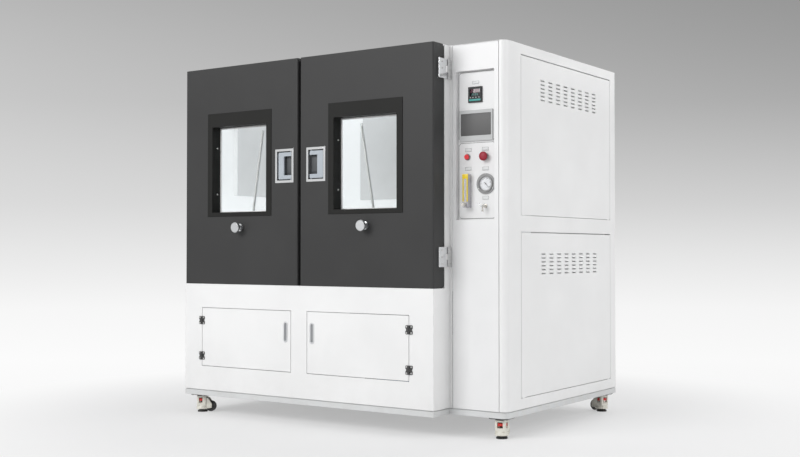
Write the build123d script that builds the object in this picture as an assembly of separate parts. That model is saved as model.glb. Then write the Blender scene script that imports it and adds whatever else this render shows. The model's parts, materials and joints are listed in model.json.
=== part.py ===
from build123d import *
import math
import os

# Dust-proof environmental test chamber: a two-door cabinet with a set-back control column on its right.
# X runs to the right seen from the front, Y to the back and Z up, in millimetres.
# Sizes are worked in cabinet coordinates: X from the main box's left side, Y from the door fronts and
# Z from the floor. Each piece is moved to the middle of the footprint only as it is written.

# Overall body
main_width = 1556.0
column_width = 297.0
body_depth = 1319.0
column_setback = 138.0
total_height = 1795.0
caster_height = 95.0
plinth_height = 30.0
sheet = 2.0
corner_radius = 30.0
clearance = 0.3
panel_gap = 1.0
seam_gap = 2.5
running_fit = 0.05

body_width = main_width + column_width
plinth_bottom = caster_height
plinth_top = plinth_bottom + plinth_height
groove_height = 4.0
groove_depth = 4.0
frame_section = 50.0
frame_wall = 3.0
crossbar_width = 40.0

# Doors
door_bottom = 675.0
door_top = total_height
door_thickness = 81.0
door_gap = 16.0
left_door_width = 762.0
door_corner_radius = 8.0
door_sill_radius = 10.0
gasket_depth = 13.0
gasket_width = 28.0
gasket_inset = 3.0
ring_face = door_thickness + gasket_depth
door_swing_radius = 6.0

doors = {
    "left": {
        "x": (0.0, left_door_width),
        "hinge_side": -1,
        "window_offset": -5.0,
        "knob_offset": 10.5,
        "handle_reach": 83.5,
        "wiper_lean": 9.0,
    },
    "right": {
        "x": (left_door_width + door_gap, main_width),
        "hinge_side": 1,
        "window_offset": 4.0,
        "knob_offset": 5.0,
        "handle_reach": 99.5,
        "wiper_lean": -10.0,
    },
}

# Windows
window_width = 434.0
window_sill = 347.0
window_head = 239.0
window_bottom = door_bottom + window_sill
window_top = door_top - window_head
window_side_band = 33.0
window_bottom_band = 22.0
window_top_band = 70.0
window_proud = 3.0
window_wall = 3.0
glass_thickness = 20.0
glass_overlap = 12.0

# Wipers
wiper_drop = 57.0
wiper_height = window_bottom - wiper_drop
wiper_knob_radius = 26.5
wiper_knob_depth = 12.0
wiper_neck_radius = 12.0
wiper_collar_radius = 19.5
wiper_collar_depth = 10.0
wiper_projection = 46.0
wiper_shaft_radius = 5.0
wiper_bush_radius = 11.0
wiper_hub_radius = 12.0
wiper_top_gap = 18.0
wiper_arm_length = window_top - window_top_band - wiper_top_gap - wiper_height
wiper_arm_width = 12.0
wiper_arm_thickness = 4.0
wiper_blade_thickness = 5.0
wiper_blade_width = 7.0
wiper_blade_start = 90.0

# Door handles
handle_rise = 592.0
handle_height = door_bottom + handle_rise
handle_width = 118.0
handle_tall = 168.0
handle_border = 10.0
handle_proud = 2.5
handle_depth = 24.0
handle_wall = 2.0
paddle_width = 84.0
paddle_tall = 134.0
paddle_bar = 36.0
paddle_arm = 20.0
paddle_thickness = 10.0
paddle_sink = 2.0
paddle_pin_radius = 3.0
paddle_pin_inset = 7.0

# Door hinges
lower_hinge_rise = 142.5
upper_hinge_drop = 114.5
door_hinge_centres = (door_bottom + lower_hinge_rise, door_top - upper_hinge_drop)
door_hinge_tall = 91.0
door_hinge_thickness = 12.0
door_hinge_front = 30.0
door_hinge_axis = 96.0
door_hinge_gap = 10.0
hinge_pin_radius = 2.5

# Lower hatches
hatch_margins = {"left": 120.0, "right": 132.5}
hatch_post = 99.5
hatch_width = (main_width - hatch_margins["left"] - hatch_post - hatch_margins["right"]) / 2
hatch_bottom = 248.0
hatch_top = 552.0
hatch_thickness = 20.0
hatch_gap = 2.5
hatch_left_edges = {
    "left": hatch_margins["left"],
    "right": main_width - hatch_margins["right"] - hatch_width,
}
left_pull_inset = 35.0
right_pull_inset = 32.5
pull_centres = {
    "left": hatch_left_edges["left"] + hatch_width - left_pull_inset,
    "right": hatch_left_edges["right"] + right_pull_inset,
}
pull_drop = 107.0
pull_height = hatch_top - pull_drop
pull_width = 28.0
pull_tall = 104.0
pull_rim = 5.0
pull_depth = 13.0
pull_proud = 1.5
hatch_hinge_rise = 53.0
hatch_hinge_drop = 67.0
hatch_hinge_centres = (hatch_bottom + hatch_hinge_rise, hatch_top - hatch_hinge_drop)
hatch_hinge_width = 40.0
hatch_hinge_tall = 42.0
hatch_hinge_leaf = 2.0
hatch_knuckle_radius = 3.5
hatch_axis_proud = 4.0

# Chamber
chamber_side_gap = 100.0
chamber_floor_rise = 95.0
chamber_roof_gap = 95.0
chamber_rear_gap = 200.0
chamber_left = chamber_side_gap
chamber_right = main_width - chamber_side_gap
chamber_bottom = door_bottom + chamber_floor_rise
chamber_top = total_height - chamber_roof_gap
chamber_back = body_depth - chamber_rear_gap
chamber_flange = 15.0
post_width = 90.0
post_depth = 40.0
post_centre = left_door_width + door_gap / 2
hopper_outlet = 180.0
hopper_ledge = 8.0
baffle_stand_off = 25.0
baffle_sheet = 2.0
side_baffle_front = 262.0
side_baffle_back = 640.0
rear_baffle_inset = 238.0
rear_baffle_left = chamber_left + rear_baffle_inset
rear_baffle_right = chamber_right - rear_baffle_inset
outlet_margin = 40.0

# Sample shelf
shelf_rise = 230.0
shelf_height = chamber_bottom + shelf_rise
baffle_rise = 145.0
baffle_bottom = shelf_height + baffle_rise
shelf_bar = 8.0
shelf_bars = 16
shelf_front = 200.0
shelf_rail = 25.0

# Column openings
seam = 14.0
post_seam = 36.0
front_panel_pan = 20.0
recess_left_gap = 34.0
recess_right_gap = 61.0
recess_top_gap = 125.0
recess_tall = 681.5
recess_left = main_width + recess_left_gap
recess_right = body_width - recess_right_gap
recess_top = total_height - recess_top_gap
recess_bottom = recess_top - recess_tall
recess_depth = 20.0
recess_lip = 10.0
plate_thickness = 3.0
plate_edge = 4.0
plate_split_drop = 325.0
plate_split = recess_top - plate_split_drop
plate_chamfer = 12.0


def in_recess(place):
    """Cabinet X and Z of a place given to the right of and below the recess's upper left corner."""
    return (recess_left + place[0], recess_top - place[1])


# Panel instruments, each placed from the recess's upper left corner
controller_place = (94.0, 110.0)
controller_centre = in_recess(controller_place)
controller_size = 72.0
controller_body = 66.0
controller_proud = 8.0
controller_depth = 70.0
touch_place = (98.3, 251.5)
touch_centre = in_recess(touch_place)
touch_width = 176.0
touch_tall = 142.0
touch_proud = 7.0
touch_screen_width = 160.0
touch_screen_tall = 102.0
touch_screen_rise = 3.0
touch_body_inset = 8.0
touch_depth = 38.0
start_place = (51.0, 394.0)
stop_place = (144.5, 394.5)
start_centre = in_recess(start_place)
stop_centre = in_recess(stop_place)
switch_barrel_radius = 11.0
switch_barrel_depth = 36.0
start_collar_radius = 15.0
start_collar_depth = 4.0
start_head_radius = 12.0
start_travel = 4.0
stop_collar_radius = 16.0
stop_collar_depth = 6.0
stop_head_radius = 20.5
stop_projection = 30.0
stop_neck_radius = 9.5
stop_travel = 4.0
switch_stem_radius = 5.0
gauge_place = (148.0, 519.5)
gauge_centre = in_recess(gauge_place)
gauge_flange_radius = 47.5
gauge_bezel_radius = 38.0
gauge_dial_radius = 31.0
gauge_proud = 11.0
gauge_flange_thickness = 5.0
gauge_depth = 42.0
lens_thickness = 2.0
needle_length = 25.0
needle_tail = 9.0
needle_start = 135.0
flow_place = (55.5, 550.0)
flow_width = 31.0
flow_tall = 154.0
flow_depth = 30.0
flow_centre = in_recess(flow_place)
flow_x = (flow_centre[0] - flow_width / 2, flow_centre[0] + flow_width / 2)
flow_z = (flow_centre[1] - flow_tall / 2, flow_centre[1] + flow_tall / 2)
flow_bore_radius = 5.0
flow_bore_top_radius = 6.5
flow_bore_inset = 24.0
float_radius = 4.4
float_tall = 12.0
valve_rise = 13.0
valve_height = flow_z[0] + valve_rise
valve_knob_radius = 8.0
valve_knob_length = 24.0
valve_stem_radius = 3.0
tap_place = (145.0, 620.0)
tap_centre = in_recess(tap_place)
tap_radius = 6.0
tap_projection = 34.0
tap_spout_radius = 3.5
tap_spout_length = 26.0
tap_lever_length = 22.0
tap_lever_lean = 55.0

# Side panels with louvres, in the column's right side
panel_front_gap = 139.0
panel_back_gap = 63.0
panel_split = 971.0
panel_split_gap = 37.0
panel_top_gap = 47.0
panel_bottom_gap = 49.0
panel_lift_gap = 5.0
panel_tab = 24.0
side_panel_front = column_setback + panel_front_gap
side_panel_back = body_depth - panel_back_gap
upper_panel_z = (panel_split + panel_split_gap, total_height - panel_top_gap)
lower_panel_z = (plinth_top + panel_bottom_gap, panel_split - panel_split_gap)
louvre_columns = 8
louvre_rows = 6
louvre_pitch_y = 80.9
louvre_pitch_z = 18.3
louvre_length = 44.0
louvre_slot = 7.0
louvre_hood = 3.5
louvre_lip_drop = 1.5
louvre_sheet = 1.2
upper_louvre_inset = 215.0
upper_louvre_drop = 96.0
lower_louvre_inset = 222.0
lower_louvre_drop = 99.5
upper_louvre_start = (side_panel_front + upper_louvre_inset, upper_panel_z[1] - upper_louvre_drop)
lower_louvre_start = (side_panel_front + lower_louvre_inset, lower_panel_z[1] - lower_louvre_drop)

# Rear panel
rear_margin = 60.0
gland_radius = 16.0
gland_projection = 22.0
gland_inset = 153.0
gland_rise = 90.0
gland_centre = (body_width - gland_inset, plinth_top + gland_rise)

# Blower, under the funnel's neck
blower_x = 778.0
blower_y = 700.0
volute_start = 170.0
volute_growth = 80.0
volute_bottom = 385.0
volute_tall = 120.0
neck_gap = 10.0
neck_tall = 25.0
hopper_neck = volute_bottom + volute_tall + neck_gap
hopper_bottom = hopper_neck + neck_tall
duct_wall = 2.0
inlet_radius = 85.0
impeller_radius = 150.0
impeller_inner = 118.0
impeller_tall = 84.0
impeller_blades = 24
impeller_plate = 3.0
impeller_hub = 26.0
blade_thickness = 2.5
motor_radius = 80.0
motor_shaft_radius = 10.0
motor_shaft_depth = 30.0
motor_lift = 40.0
motor_stand_width = 192.0
motor_stand_depth = 60.0
motor_stand_tall = 48.0
riser_gap = 21.0
riser_depth = 100.0
riser_roof_gap = 10.0
riser_mouth = 100.0
riser_y = (chamber_back + riser_gap, chamber_back + riser_gap + riser_depth)
riser_top = chamber_top - riser_roof_gap
riser_outlet = riser_top - riser_mouth

# Vacuum pump
pump_x = 1120.0
pump_y = 420.0
pump_motor_radius = 55.0
pump_length = 300.0
pump_base = 12.0
pump_axis_gap = 8.0
pump_motor_inset = 10.0
pump_split = 20.0
pump_head_inset = 15.0
pump_head_width = 93.5
pump_head_rise = 45.0
pump_foot_width = 77.0
pump_foot_thickness = 14.0
pump_feet = (-110.0, -30.0)
pump_fins = 7
pump_fin_start = 25.0
pump_fin_pitch = 16.0
pump_fin_thickness = 4.0
pump_fin_height = 6.0
pump_filter_inset = 50.0
pump_filter_radius = 22.0
pump_filter_tall = 65.0

# Casters
caster_plate = 90.0
caster_plate_thickness = 5.0
race_radius = 30.0
race_height = 6.0
housing_width = 52.0
housing_top_radius = 29.0
skirt_radius = 33.0
skirt_bottom = 15.0
skirt_top = 40.0
window_opening = 27.0
dial_bottom = 58.0
dial_height = 12.0
dial_radius = 25.0
foot_radius = 26.0
foot_height = 9.0
foot_stem_radius = 8.0
wheel_radius = 27.5
wheel_width = 24.0
wheel_lift = 2.0
wheel_offset = 46.0
cheek_thickness = 6.0
cheek_gap = 1.5
axle_radius = 4.0
caster_left = 68.0
caster_front = 60.0
caster_right_inset = 53.0
caster_rear_inset = 61.0
column_caster_inset = 52.0
caster_right = body_width - caster_right_inset
caster_rear = body_depth - caster_rear_inset
casters = {
    "front_left": {"place": (caster_left, caster_front), "heading": 28.0},
    "front_right": {"place": (caster_right, column_setback + column_caster_inset), "heading": 100.0},
    "rear_right": {"place": (caster_right, caster_rear), "heading": 160.0},
    "rear_left": {"place": (caster_left, caster_rear), "heading": 140.0},
}

# The footprint's middle, which is the origin of the written pieces
lowest_x = -door_hinge_thickness
highest_x = body_width + louvre_hood
lowest_y = -wiper_projection
highest_y = body_depth + gland_projection
origin = Pos(-(lowest_x + highest_x) / 2, -(lowest_y + highest_y) / 2, 0)


def block(x, y, z):
    """A box between the low and high values of each pair."""
    middle = Pos((x[0] + x[1]) / 2, (y[0] + y[1]) / 2, (z[0] + z[1]) / 2)
    return middle * Box(x[1] - x[0], y[1] - y[0], z[1] - z[0])


def around(centre, size):
    """A low and high pair centred on a value."""
    return (centre - size / 2, centre + size / 2)


def grown(pair, by):
    """A pair with both ends moved outwards by the same amount."""
    return (pair[0] - by, pair[1] + by)


def drum_x(y, z, x, radius):
    """A cylinder along X between the pair x."""
    return Pos((x[0] + x[1]) / 2, y, z) * Rot(0, 90, 0) * Cylinder(radius, x[1] - x[0])


def drum_y(x, z, y, radius):
    """A cylinder along Y between the pair y."""
    return Pos(x, (y[0] + y[1]) / 2, z) * Rot(90, 0, 0) * Cylinder(radius, y[1] - y[0])


def drum_z(x, y, z, radius):
    """A cylinder along Z between the pair z."""
    return Pos(x, y, (z[0] + z[1]) / 2) * Cylinder(radius, z[1] - z[0])


def facing_front(shape, x, y, z):
    """Stands a shape drawn in XY upright, so that its +Z faces the front."""
    return Pos(x, y, z) * Rot(90, 0, 0) * shape


def turned_profile(points):
    """A solid of revolution about Z from (radius, height) points that start and end on the axis."""
    outline = make_face(Polyline(*[(radius, 0, height) for radius, height in points], close=True))
    return revolve(outline, axis=Axis.Z)


def outline_face(front, inset):
    """Plan of the body with its set-back column and rounded column corner, drawn inset."""
    right = body_width - inset
    back = body_depth - inset
    step = main_width - inset
    column_front = column_setback + inset
    points = [
        (inset, front + inset),
        (step, front + inset),
        (step, column_front),
        (right, column_front),
        (right, back),
        (inset, back),
    ]
    face = make_face(Polyline(*points, close=True))
    corner = face.vertices().sort_by_distance((right, column_front, 0))[0]
    return fillet(corner, max(corner_radius - inset, sheet))


def outline_solid(front, inset, z):
    """The body's plan, inset, raised between the pair z."""
    return Pos(0, 0, z[0]) * extrude(outline_face(front, inset), amount=z[1] - z[0])


def window_middle(door):
    """Middle of a door's window, measured from the middle of the door."""
    return (door["x"][0] + door["x"][1]) / 2 + door["window_offset"]


def knob_x(door):
    """Where the wiper's shaft passes through a door, measured from the window's middle."""
    return window_middle(door) + door["knob_offset"]


def handle_x(door):
    """Middle of a door's handle, measured from the edge where the doors meet."""
    meeting_edge = door["x"][1] if door["hinge_side"] < 0 else door["x"][0]
    return meeting_edge + door["hinge_side"] * door["handle_reach"]


def window_x(door):
    return around(window_middle(door), window_width)


def window_opening_x(door):
    return grown(window_x(door), -window_side_band)


def window_opening_z():
    return (window_bottom + window_bottom_band, window_top - window_top_band)


def base_frame():
    """The plinth: a rolled skirt and floor tray on crossbars, with a pad over each caster."""
    skirt_top_z = plinth_top - groove_height
    frame = outline_solid(0, 0, (plinth_bottom, skirt_top_z))
    frame -= outline_solid(0, frame_section, (plinth_bottom, skirt_top_z))
    frame -= outline_solid(0, frame_wall, (plinth_bottom + frame_wall, skirt_top_z))
    tray = outline_solid(0, groove_depth, (skirt_top_z, plinth_top))
    frame += tray
    bar_z = (plinth_bottom, skirt_top_z)
    back = body_depth - frame_section
    for centre in (main_width / 3, main_width * 2 / 3, main_width - frame_section):
        frame += block(around(centre, crossbar_width), (frame_section, back), bar_z)
    for caster in casters.values():
        x, y = caster["place"]
        frame += block(around(x, caster_plate), around(y, caster_plate), bar_z)
    return frame


def casing_shell():
    """The painted carcass: lower front box, upper box behind the doors and the column, in folded sheet."""
    lower = (plinth_top, door_bottom - clearance)
    upper = (door_bottom - clearance, total_height)
    shell = outline_solid(0, 0, lower) + outline_solid(ring_face, 0, upper)
    inner_lower = (plinth_top, lower[1] - sheet)
    inner_upper = (lower[1] - sheet, total_height - sheet)
    shell -= outline_solid(0, sheet, inner_lower)
    shell -= outline_solid(ring_face, sheet, inner_upper)
    cut_y = (ring_face - sheet, ring_face + 2 * sheet)
    shell -= block((chamber_left, chamber_right), cut_y, (chamber_bottom, chamber_top))
    for left in hatch_left_edges.values():
        shell -= block((left, left + hatch_width), (-sheet, 2 * sheet), (hatch_bottom, hatch_top))
    panel_x = (main_width + seam, body_width - post_seam)
    front_cut = (column_setback - sheet, column_setback + 2 * sheet)
    shell -= block(panel_x, front_cut, (plinth_top - 1, total_height - sheet))
    side_cut = (body_width - 2 * sheet, body_width + sheet)
    for z in (upper_panel_z, lower_panel_z):
        shell -= block(side_cut, (side_panel_front, side_panel_back), z)
    rear_cut = (body_depth - 2 * sheet, body_depth + sheet)
    rear_z = (plinth_top + rear_margin, total_height - rear_margin)
    shell -= block((rear_margin, body_width - rear_margin), rear_cut, rear_z)
    return shell


def louvre_positions(start):
    """Middle and top of each slot in one panel's field of louvres."""
    for column in range(louvre_columns):
        for row in range(louvre_rows):
            yield start[0] + column * louvre_pitch_y, start[1] - row * louvre_pitch_z


def louvre_slots(start):
    """The slots that are cut through a panel."""
    x = (body_width - 2 * sheet, body_width)
    span = louvre_length - 2 * sheet
    return [block(x, around(y, span), (z - louvre_slot, z)) for y, z in louvre_positions(start)]


def louvre_hoods(start):
    """The pressed lips over the slots, open below, with a cheek at each end."""
    root = body_width - sheet / 2
    crest = body_width + louvre_hood
    foot = -louvre_lip_drop
    lip = make_face(
        Polyline((root, 0, 0.4), (root, 0, sheet), (crest, 0, foot), (crest - louvre_sheet, 0, foot), close=True)
    )
    cheek = make_face(Polyline((root, 0, sheet), (crest, 0, foot), (root, 0, foot), close=True))
    span = louvre_length / 2
    hood = extrude(lip, amount=2 * span, dir=(0, 1, 0))
    hood += extrude(cheek, amount=louvre_sheet, dir=(0, 1, 0))
    hood += Pos(0, 2 * span - louvre_sheet, 0) * extrude(cheek, amount=louvre_sheet, dir=(0, 1, 0))
    return [Pos(0, y - span, z) * hood for y, z in louvre_positions(start)]


def side_panels():
    """Two lift-off sheet panels in the column's right side, each with a field of pressed louvres."""
    panels = []
    for z, start in ((upper_panel_z, upper_louvre_start), (lower_panel_z, lower_louvre_start)):
        y = grown((side_panel_front, side_panel_back), -seam_gap)
        height = (z[0] + seam_gap, z[1] - panel_lift_gap)
        panel = block((body_width - sheet, body_width), y, height)
        for edge in (y[0] + panel_tab, y[1] - panel_tab):
            panel += block((body_width - sheet, body_width), around(edge, panel_tab), (z[0], height[0]))
        flange = block((body_width - front_panel_pan, body_width - sheet), y, height)
        flange -= block((body_width - 2 * front_panel_pan, body_width), grown(y, -sheet), grown(height, -sheet))
        panel += flange
        panel = panel + louvre_hoods(start)
        panel = panel - louvre_slots(start)
        panels.append(panel)
    return group(panels)


def rear_panel():
    """The screwed rear cover, with the cable gland of the supply inlet low on the column's side."""
    x = grown((rear_margin, body_width - rear_margin), -panel_gap)
    z = (plinth_top + rear_margin, total_height - rear_margin - panel_gap)
    pan = block(x, (body_depth - front_panel_pan, body_depth), z)
    pan -= block(grown(x, -sheet), (body_depth - 2 * front_panel_pan, body_depth - sheet), grown(z, -sheet))
    gland = drum_y(*gland_centre, (body_depth, body_depth + gland_projection), gland_radius)
    gland = chamfer(gland.edges().group_by(Axis.Y)[-1], sheet)
    bore = drum_y(*gland_centre, (body_depth - 2 * sheet, body_depth + gland_projection + 1), gland_radius / 2)
    return pan + gland - bore


def column_front_panel():
    """The column's front cover: a folded pan with the sunk frame that carries the control plates."""
    x = grown((main_width + seam, body_width - post_seam), -seam_gap)
    z = (plinth_top, total_height - sheet - panel_gap)
    front = column_setback
    pan = block(x, (front, front + front_panel_pan), z)
    pan -= block(grown(x, -sheet), (front + sheet, front + 2 * front_panel_pan), grown(z, -sheet))
    hole_x = (recess_left, recess_right)
    hole_z = (recess_bottom, recess_top)
    back = front + recess_depth + plate_thickness
    pan += block(grown(hole_x, sheet), (front, back + sheet), grown(hole_z, sheet))
    pan -= block(hole_x, (front - 1, back), hole_z)
    pan -= block(grown(hole_x, -recess_lip), (front, back + 2 * sheet), grown(hole_z, -recess_lip))
    return pan


def chamber_liner():
    """The welded stainless chamber: box, funnel floor, front flange, centre post and air baffles."""
    x = grown((chamber_left, chamber_right), -clearance)
    z = grown((chamber_bottom, chamber_top), -clearance)
    y = (ring_face, chamber_back)
    outer = block(x, y, z)
    inner = block(grown(x, -sheet), (y[0] - 1, y[1] - sheet), grown(z, -sheet))
    mouth_centre = ((x[0] + x[1]) / 2, (y[0] + y[1]) / 2)
    width = x[1] - x[0]
    depth = y[1] - y[0]

    def funnel(inset, neck_bottom):
        margin = 2 * (inset + hopper_ledge)
        top = Pos(*mouth_centre, z[0]) * Rectangle(width - margin, depth - margin)
        bottom = Pos(blower_x, blower_y, hopper_bottom) * Rectangle(
            hopper_outlet - 2 * inset, hopper_outlet - 2 * inset
        )
        cone = loft([bottom, top], ruled=True)
        size = hopper_outlet - 2 * inset
        neck = block(around(blower_x, size), around(blower_y, size), (neck_bottom, hopper_bottom))
        return cone + neck

    liner = outer + funnel(0, hopper_neck) - inner - funnel(sheet, hopper_neck - 1)
    mouth_x = grown(x, -hopper_ledge - sheet)
    mouth_y = grown(y, -hopper_ledge - sheet)
    liner -= block(mouth_x, mouth_y, (z[0] - 0.01, z[0] + 2 * sheet))
    flange = block(
        grown((chamber_left, chamber_right), chamber_flange),
        (ring_face + sheet, ring_face + 2 * sheet),
        grown((chamber_bottom, chamber_top), chamber_flange),
    )
    flange -= block(grown(x, -sheet), (ring_face, ring_face + 3 * sheet), grown(z, -sheet))
    liner += flange
    post = block(around(post_centre, post_width), (ring_face, ring_face + post_depth), grown(z, -sheet))
    hollow = block(
        around(post_centre, post_width - 2 * sheet),
        (ring_face + sheet, ring_face + post_depth - sheet),
        grown(z, -sheet),
    )
    liner += post - hollow
    liner += air_baffles(x, z)
    duct_x = (blower_x + volute_start, blower_x + volute_start + volute_growth)
    liner -= block(grown(duct_x, -duct_wall), (chamber_back - 2 * sheet, chamber_back + 1), (riser_outlet, riser_top - sheet))
    return liner


def air_baffles(x, z):
    """Channel-shaped guide sheets on both side walls and the rear wall, open at top and bottom."""
    baffle_z = (baffle_bottom, z[1] - sheet)
    inner_left = x[0] + sheet
    inner_right = x[1] - sheet
    inner_back = chamber_back - sheet
    y = (side_baffle_front, side_baffle_back)
    sides = []
    for wall, side in ((inner_left, 1), (inner_right, -1)):
        face = sorted((wall, wall + side * baffle_stand_off))
        hollow = sorted((wall, wall + side * (baffle_stand_off - baffle_sheet)))
        channel = block(face, y, baffle_z) - block(hollow, grown(y, -baffle_sheet), baffle_z)
        sides.append(channel)
    rear_x = (rear_baffle_left, rear_baffle_right)
    rear = block(rear_x, (inner_back - baffle_stand_off, inner_back), baffle_z)
    rear -= block(grown(rear_x, -baffle_sheet), (inner_back - baffle_stand_off + baffle_sheet, inner_back), baffle_z)
    rear -= block(grown(rear_x, 1), (inner_back - 2 * baffle_stand_off, inner_back + 1), (riser_outlet - outlet_margin, chamber_top))
    return sides[0] + sides[1] + rear


def sample_shelf():
    """A removable stainless bar shelf that lies on two ledges of the side walls."""
    wall_left = chamber_left + clearance + sheet
    wall_right = chamber_right - clearance - sheet
    y = (shelf_front, chamber_back - shelf_front)
    rails = []
    for low, high in ((wall_left, wall_left + shelf_rail), (wall_right - shelf_rail, wall_right)):
        rails.append(block((low, high), y, (shelf_height - sheet, shelf_height)))
    left = wall_left + clearance
    right = wall_right - clearance
    grid = block((left, right), y, (shelf_height, shelf_height + shelf_bar))
    grid -= block(
        grown((left, right), -2 * shelf_bar),
        grown(y, -2 * shelf_bar),
        (shelf_height - 1, shelf_height + shelf_bar + 1),
    )
    pitch = (right - left - 4 * shelf_bar) / (shelf_bars + 1)
    bars = []
    for index in range(shelf_bars):
        centre = left + 2 * shelf_bar + pitch * (index + 1)
        bars.append(block(around(centre, shelf_bar), y, (shelf_height, shelf_height + shelf_bar)))
    middle = (y[0] + y[1]) / 2
    bars.append(block((left, right), around(middle, 2 * shelf_bar), (shelf_height, shelf_height + shelf_bar)))
    grid = grid + bars
    return group(rails + [grid])


def group(shapes):
    """Separate solids that share one node."""
    solids = []
    for shape in shapes:
        solids.extend(shape.solids())
    return Compound(solids)


def control_plates():
    """The two instrument plates that stand on the sunk frame's lip, with a cut-out for each instrument."""
    front = column_setback + recess_depth
    y = (front, front + plate_thickness)
    x = grown((recess_left, recess_right), -plate_edge)
    upper = block(x, y, (plate_split + clearance, recess_top - plate_edge))
    lower = block(x, y, (recess_bottom + plate_edge, plate_split - clearance))
    lower = chamfer(lower.edges().filter_by(Axis.Y), plate_chamfer)
    cut = (front - 1, front + plate_thickness + 1)
    body = controller_body + 2 * clearance
    upper -= block(around(controller_centre[0], body), cut, around(controller_centre[1], body))
    touch_hole = grown(around(touch_centre[0], touch_width), clearance - touch_body_inset)
    touch_hole_z = grown(around(touch_centre[1], touch_tall), clearance - touch_body_inset)
    upper -= block(touch_hole, cut, touch_hole_z)
    for centre in (start_centre, stop_centre):
        lower -= drum_y(*centre, cut, switch_barrel_radius + clearance)
    lower -= drum_y(*gauge_centre, cut, gauge_dial_radius + sheet + clearance)
    lower -= drum_y(*tap_centre, cut, tap_radius + clearance)
    return group([upper, lower])


def temperature_controller():
    """A panel-mounted controller: bezel with sunk display, four keys and the body behind the plate."""
    front = column_setback + recess_depth
    x, z = controller_centre
    bezel = block(around(x, controller_size), (front - controller_proud, front), around(z, controller_size))
    bezel = fillet(bezel.edges().group_by(Axis.Y)[0], sheet / 2)
    body = block(around(x, controller_body), (front, front + controller_depth), around(z, controller_body))
    display_z = (z - controller_size * 0.1, z + controller_size * 0.36)
    face = front - controller_proud
    bezel -= block(around(x, controller_size * 0.76), (face - 1, face + 1), display_z)
    keys = []
    for index in range(4):
        key_x = x + (index - 1.5) * controller_size / 5
        keys.append(block(around(key_x, controller_size / 7), (face - 1, face), around(z - controller_size * 0.24, 5)))
    return bezel + body + keys


def touch_screen():
    """The touch panel: a slim bezel, its sunk screen and the electronics box behind the plate."""
    front = column_setback + recess_depth
    x, z = touch_centre
    face = front - touch_proud
    bezel = block(around(x, touch_width), (face, front), around(z, touch_tall))
    bezel = fillet(bezel.edges().group_by(Axis.Y)[0], sheet)
    screen_z = around(z + touch_screen_rise + sheet, touch_screen_tall)
    bezel -= block(around(x, touch_screen_width), (face - 1, face + sheet), screen_z)
    body_x = grown(around(x, touch_width), -touch_body_inset)
    body_z = grown(around(z, touch_tall), -touch_body_inset)
    return bezel + block(body_x, (front, front + touch_depth), body_z)


def switch_collars():
    """The fixed rings and barrels of the start button and the emergency stop."""
    front = column_setback + recess_depth
    barrel = (front, front + switch_barrel_depth)
    start = drum_y(*start_centre, (front - start_collar_depth, front), start_collar_radius)
    start += drum_y(*start_centre, barrel, switch_barrel_radius)
    start -= drum_y(*start_centre, (front - start_collar_depth - 1, front), start_head_radius + clearance)
    start -= drum_y(*start_centre, grown(barrel, 1), switch_stem_radius + running_fit)
    stop = drum_y(*stop_centre, (front - stop_collar_depth, front), stop_collar_radius)
    stop = chamfer(stop.edges().group_by(Axis.Y)[0], sheet)
    stop += drum_y(*stop_centre, barrel, switch_barrel_radius)
    neck_room = (front - stop_collar_depth - 1, front + stop_travel + 1)
    stop -= drum_y(*stop_centre, neck_room, stop_neck_radius + clearance)
    stop -= drum_y(*stop_centre, grown(barrel, 1), switch_stem_radius + running_fit)
    return group([start, stop])


def start_button():
    """The domed start button with its stem."""
    front = column_setback + recess_depth
    head_back = front - start_travel - 1
    head = drum_y(*start_centre, (head_back - 8, head_back), start_head_radius)
    head = fillet(head.edges().group_by(Axis.Y)[0], 2.5)
    return head + drum_y(*start_centre, (head_back, front + switch_barrel_depth / 2), switch_stem_radius)


def emergency_stop():
    """The emergency stop's mushroom head, turned in one profile with its neck and stem."""
    front = column_setback + recess_depth
    crown = stop_projection
    rim = crown - 13
    profile = [
        (0, crown),
        (stop_head_radius * 0.5, crown - 1),
        (stop_head_radius * 0.85, crown - 4),
        (stop_head_radius, crown - 8),
        (stop_head_radius, rim),
        (stop_head_radius - 4, rim - 2),
        (stop_neck_radius, rim - 2),
        (stop_neck_radius, 0),
        (switch_stem_radius, 0),
        (switch_stem_radius, -switch_barrel_depth / 2),
        (0, -switch_barrel_depth / 2),
    ]
    return facing_front(turned_profile(profile), stop_centre[0], front, stop_centre[1])


def gauge_case():
    """The vacuum gauge's flange, stepped bezel and can, bored for the dial and the lens."""
    front = column_setback + recess_depth
    dial_level = 2.0
    lens_seat = gauge_proud - 2 * lens_thickness
    profile = [
        (0, dial_level),
        (gauge_dial_radius, dial_level),
        (gauge_dial_radius, lens_seat),
        (gauge_dial_radius + sheet, lens_seat),
        (gauge_dial_radius + sheet, gauge_proud),
        (gauge_bezel_radius - 1, gauge_proud),
        (gauge_bezel_radius, gauge_proud - 1),
        (gauge_bezel_radius, gauge_flange_thickness),
        (gauge_flange_radius, gauge_flange_thickness - 1),
        (gauge_flange_radius, 0),
        (gauge_dial_radius + sheet, 0),
        (gauge_dial_radius + sheet, -gauge_depth),
        (0, -gauge_depth),
    ]
    case = turned_profile(profile)
    case -= Pos(0, 0, dial_level - 2) * Cylinder(1 + running_fit, 8)
    return facing_front(case, gauge_centre[0], front, gauge_centre[1])


def gauge_lens():
    """The flat glass in front of the dial."""
    front = column_setback + recess_depth
    seat = front - gauge_proud + 2 * lens_thickness
    return drum_y(*gauge_centre, (seat - lens_thickness, seat), gauge_dial_radius + sheet - clearance)


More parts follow.
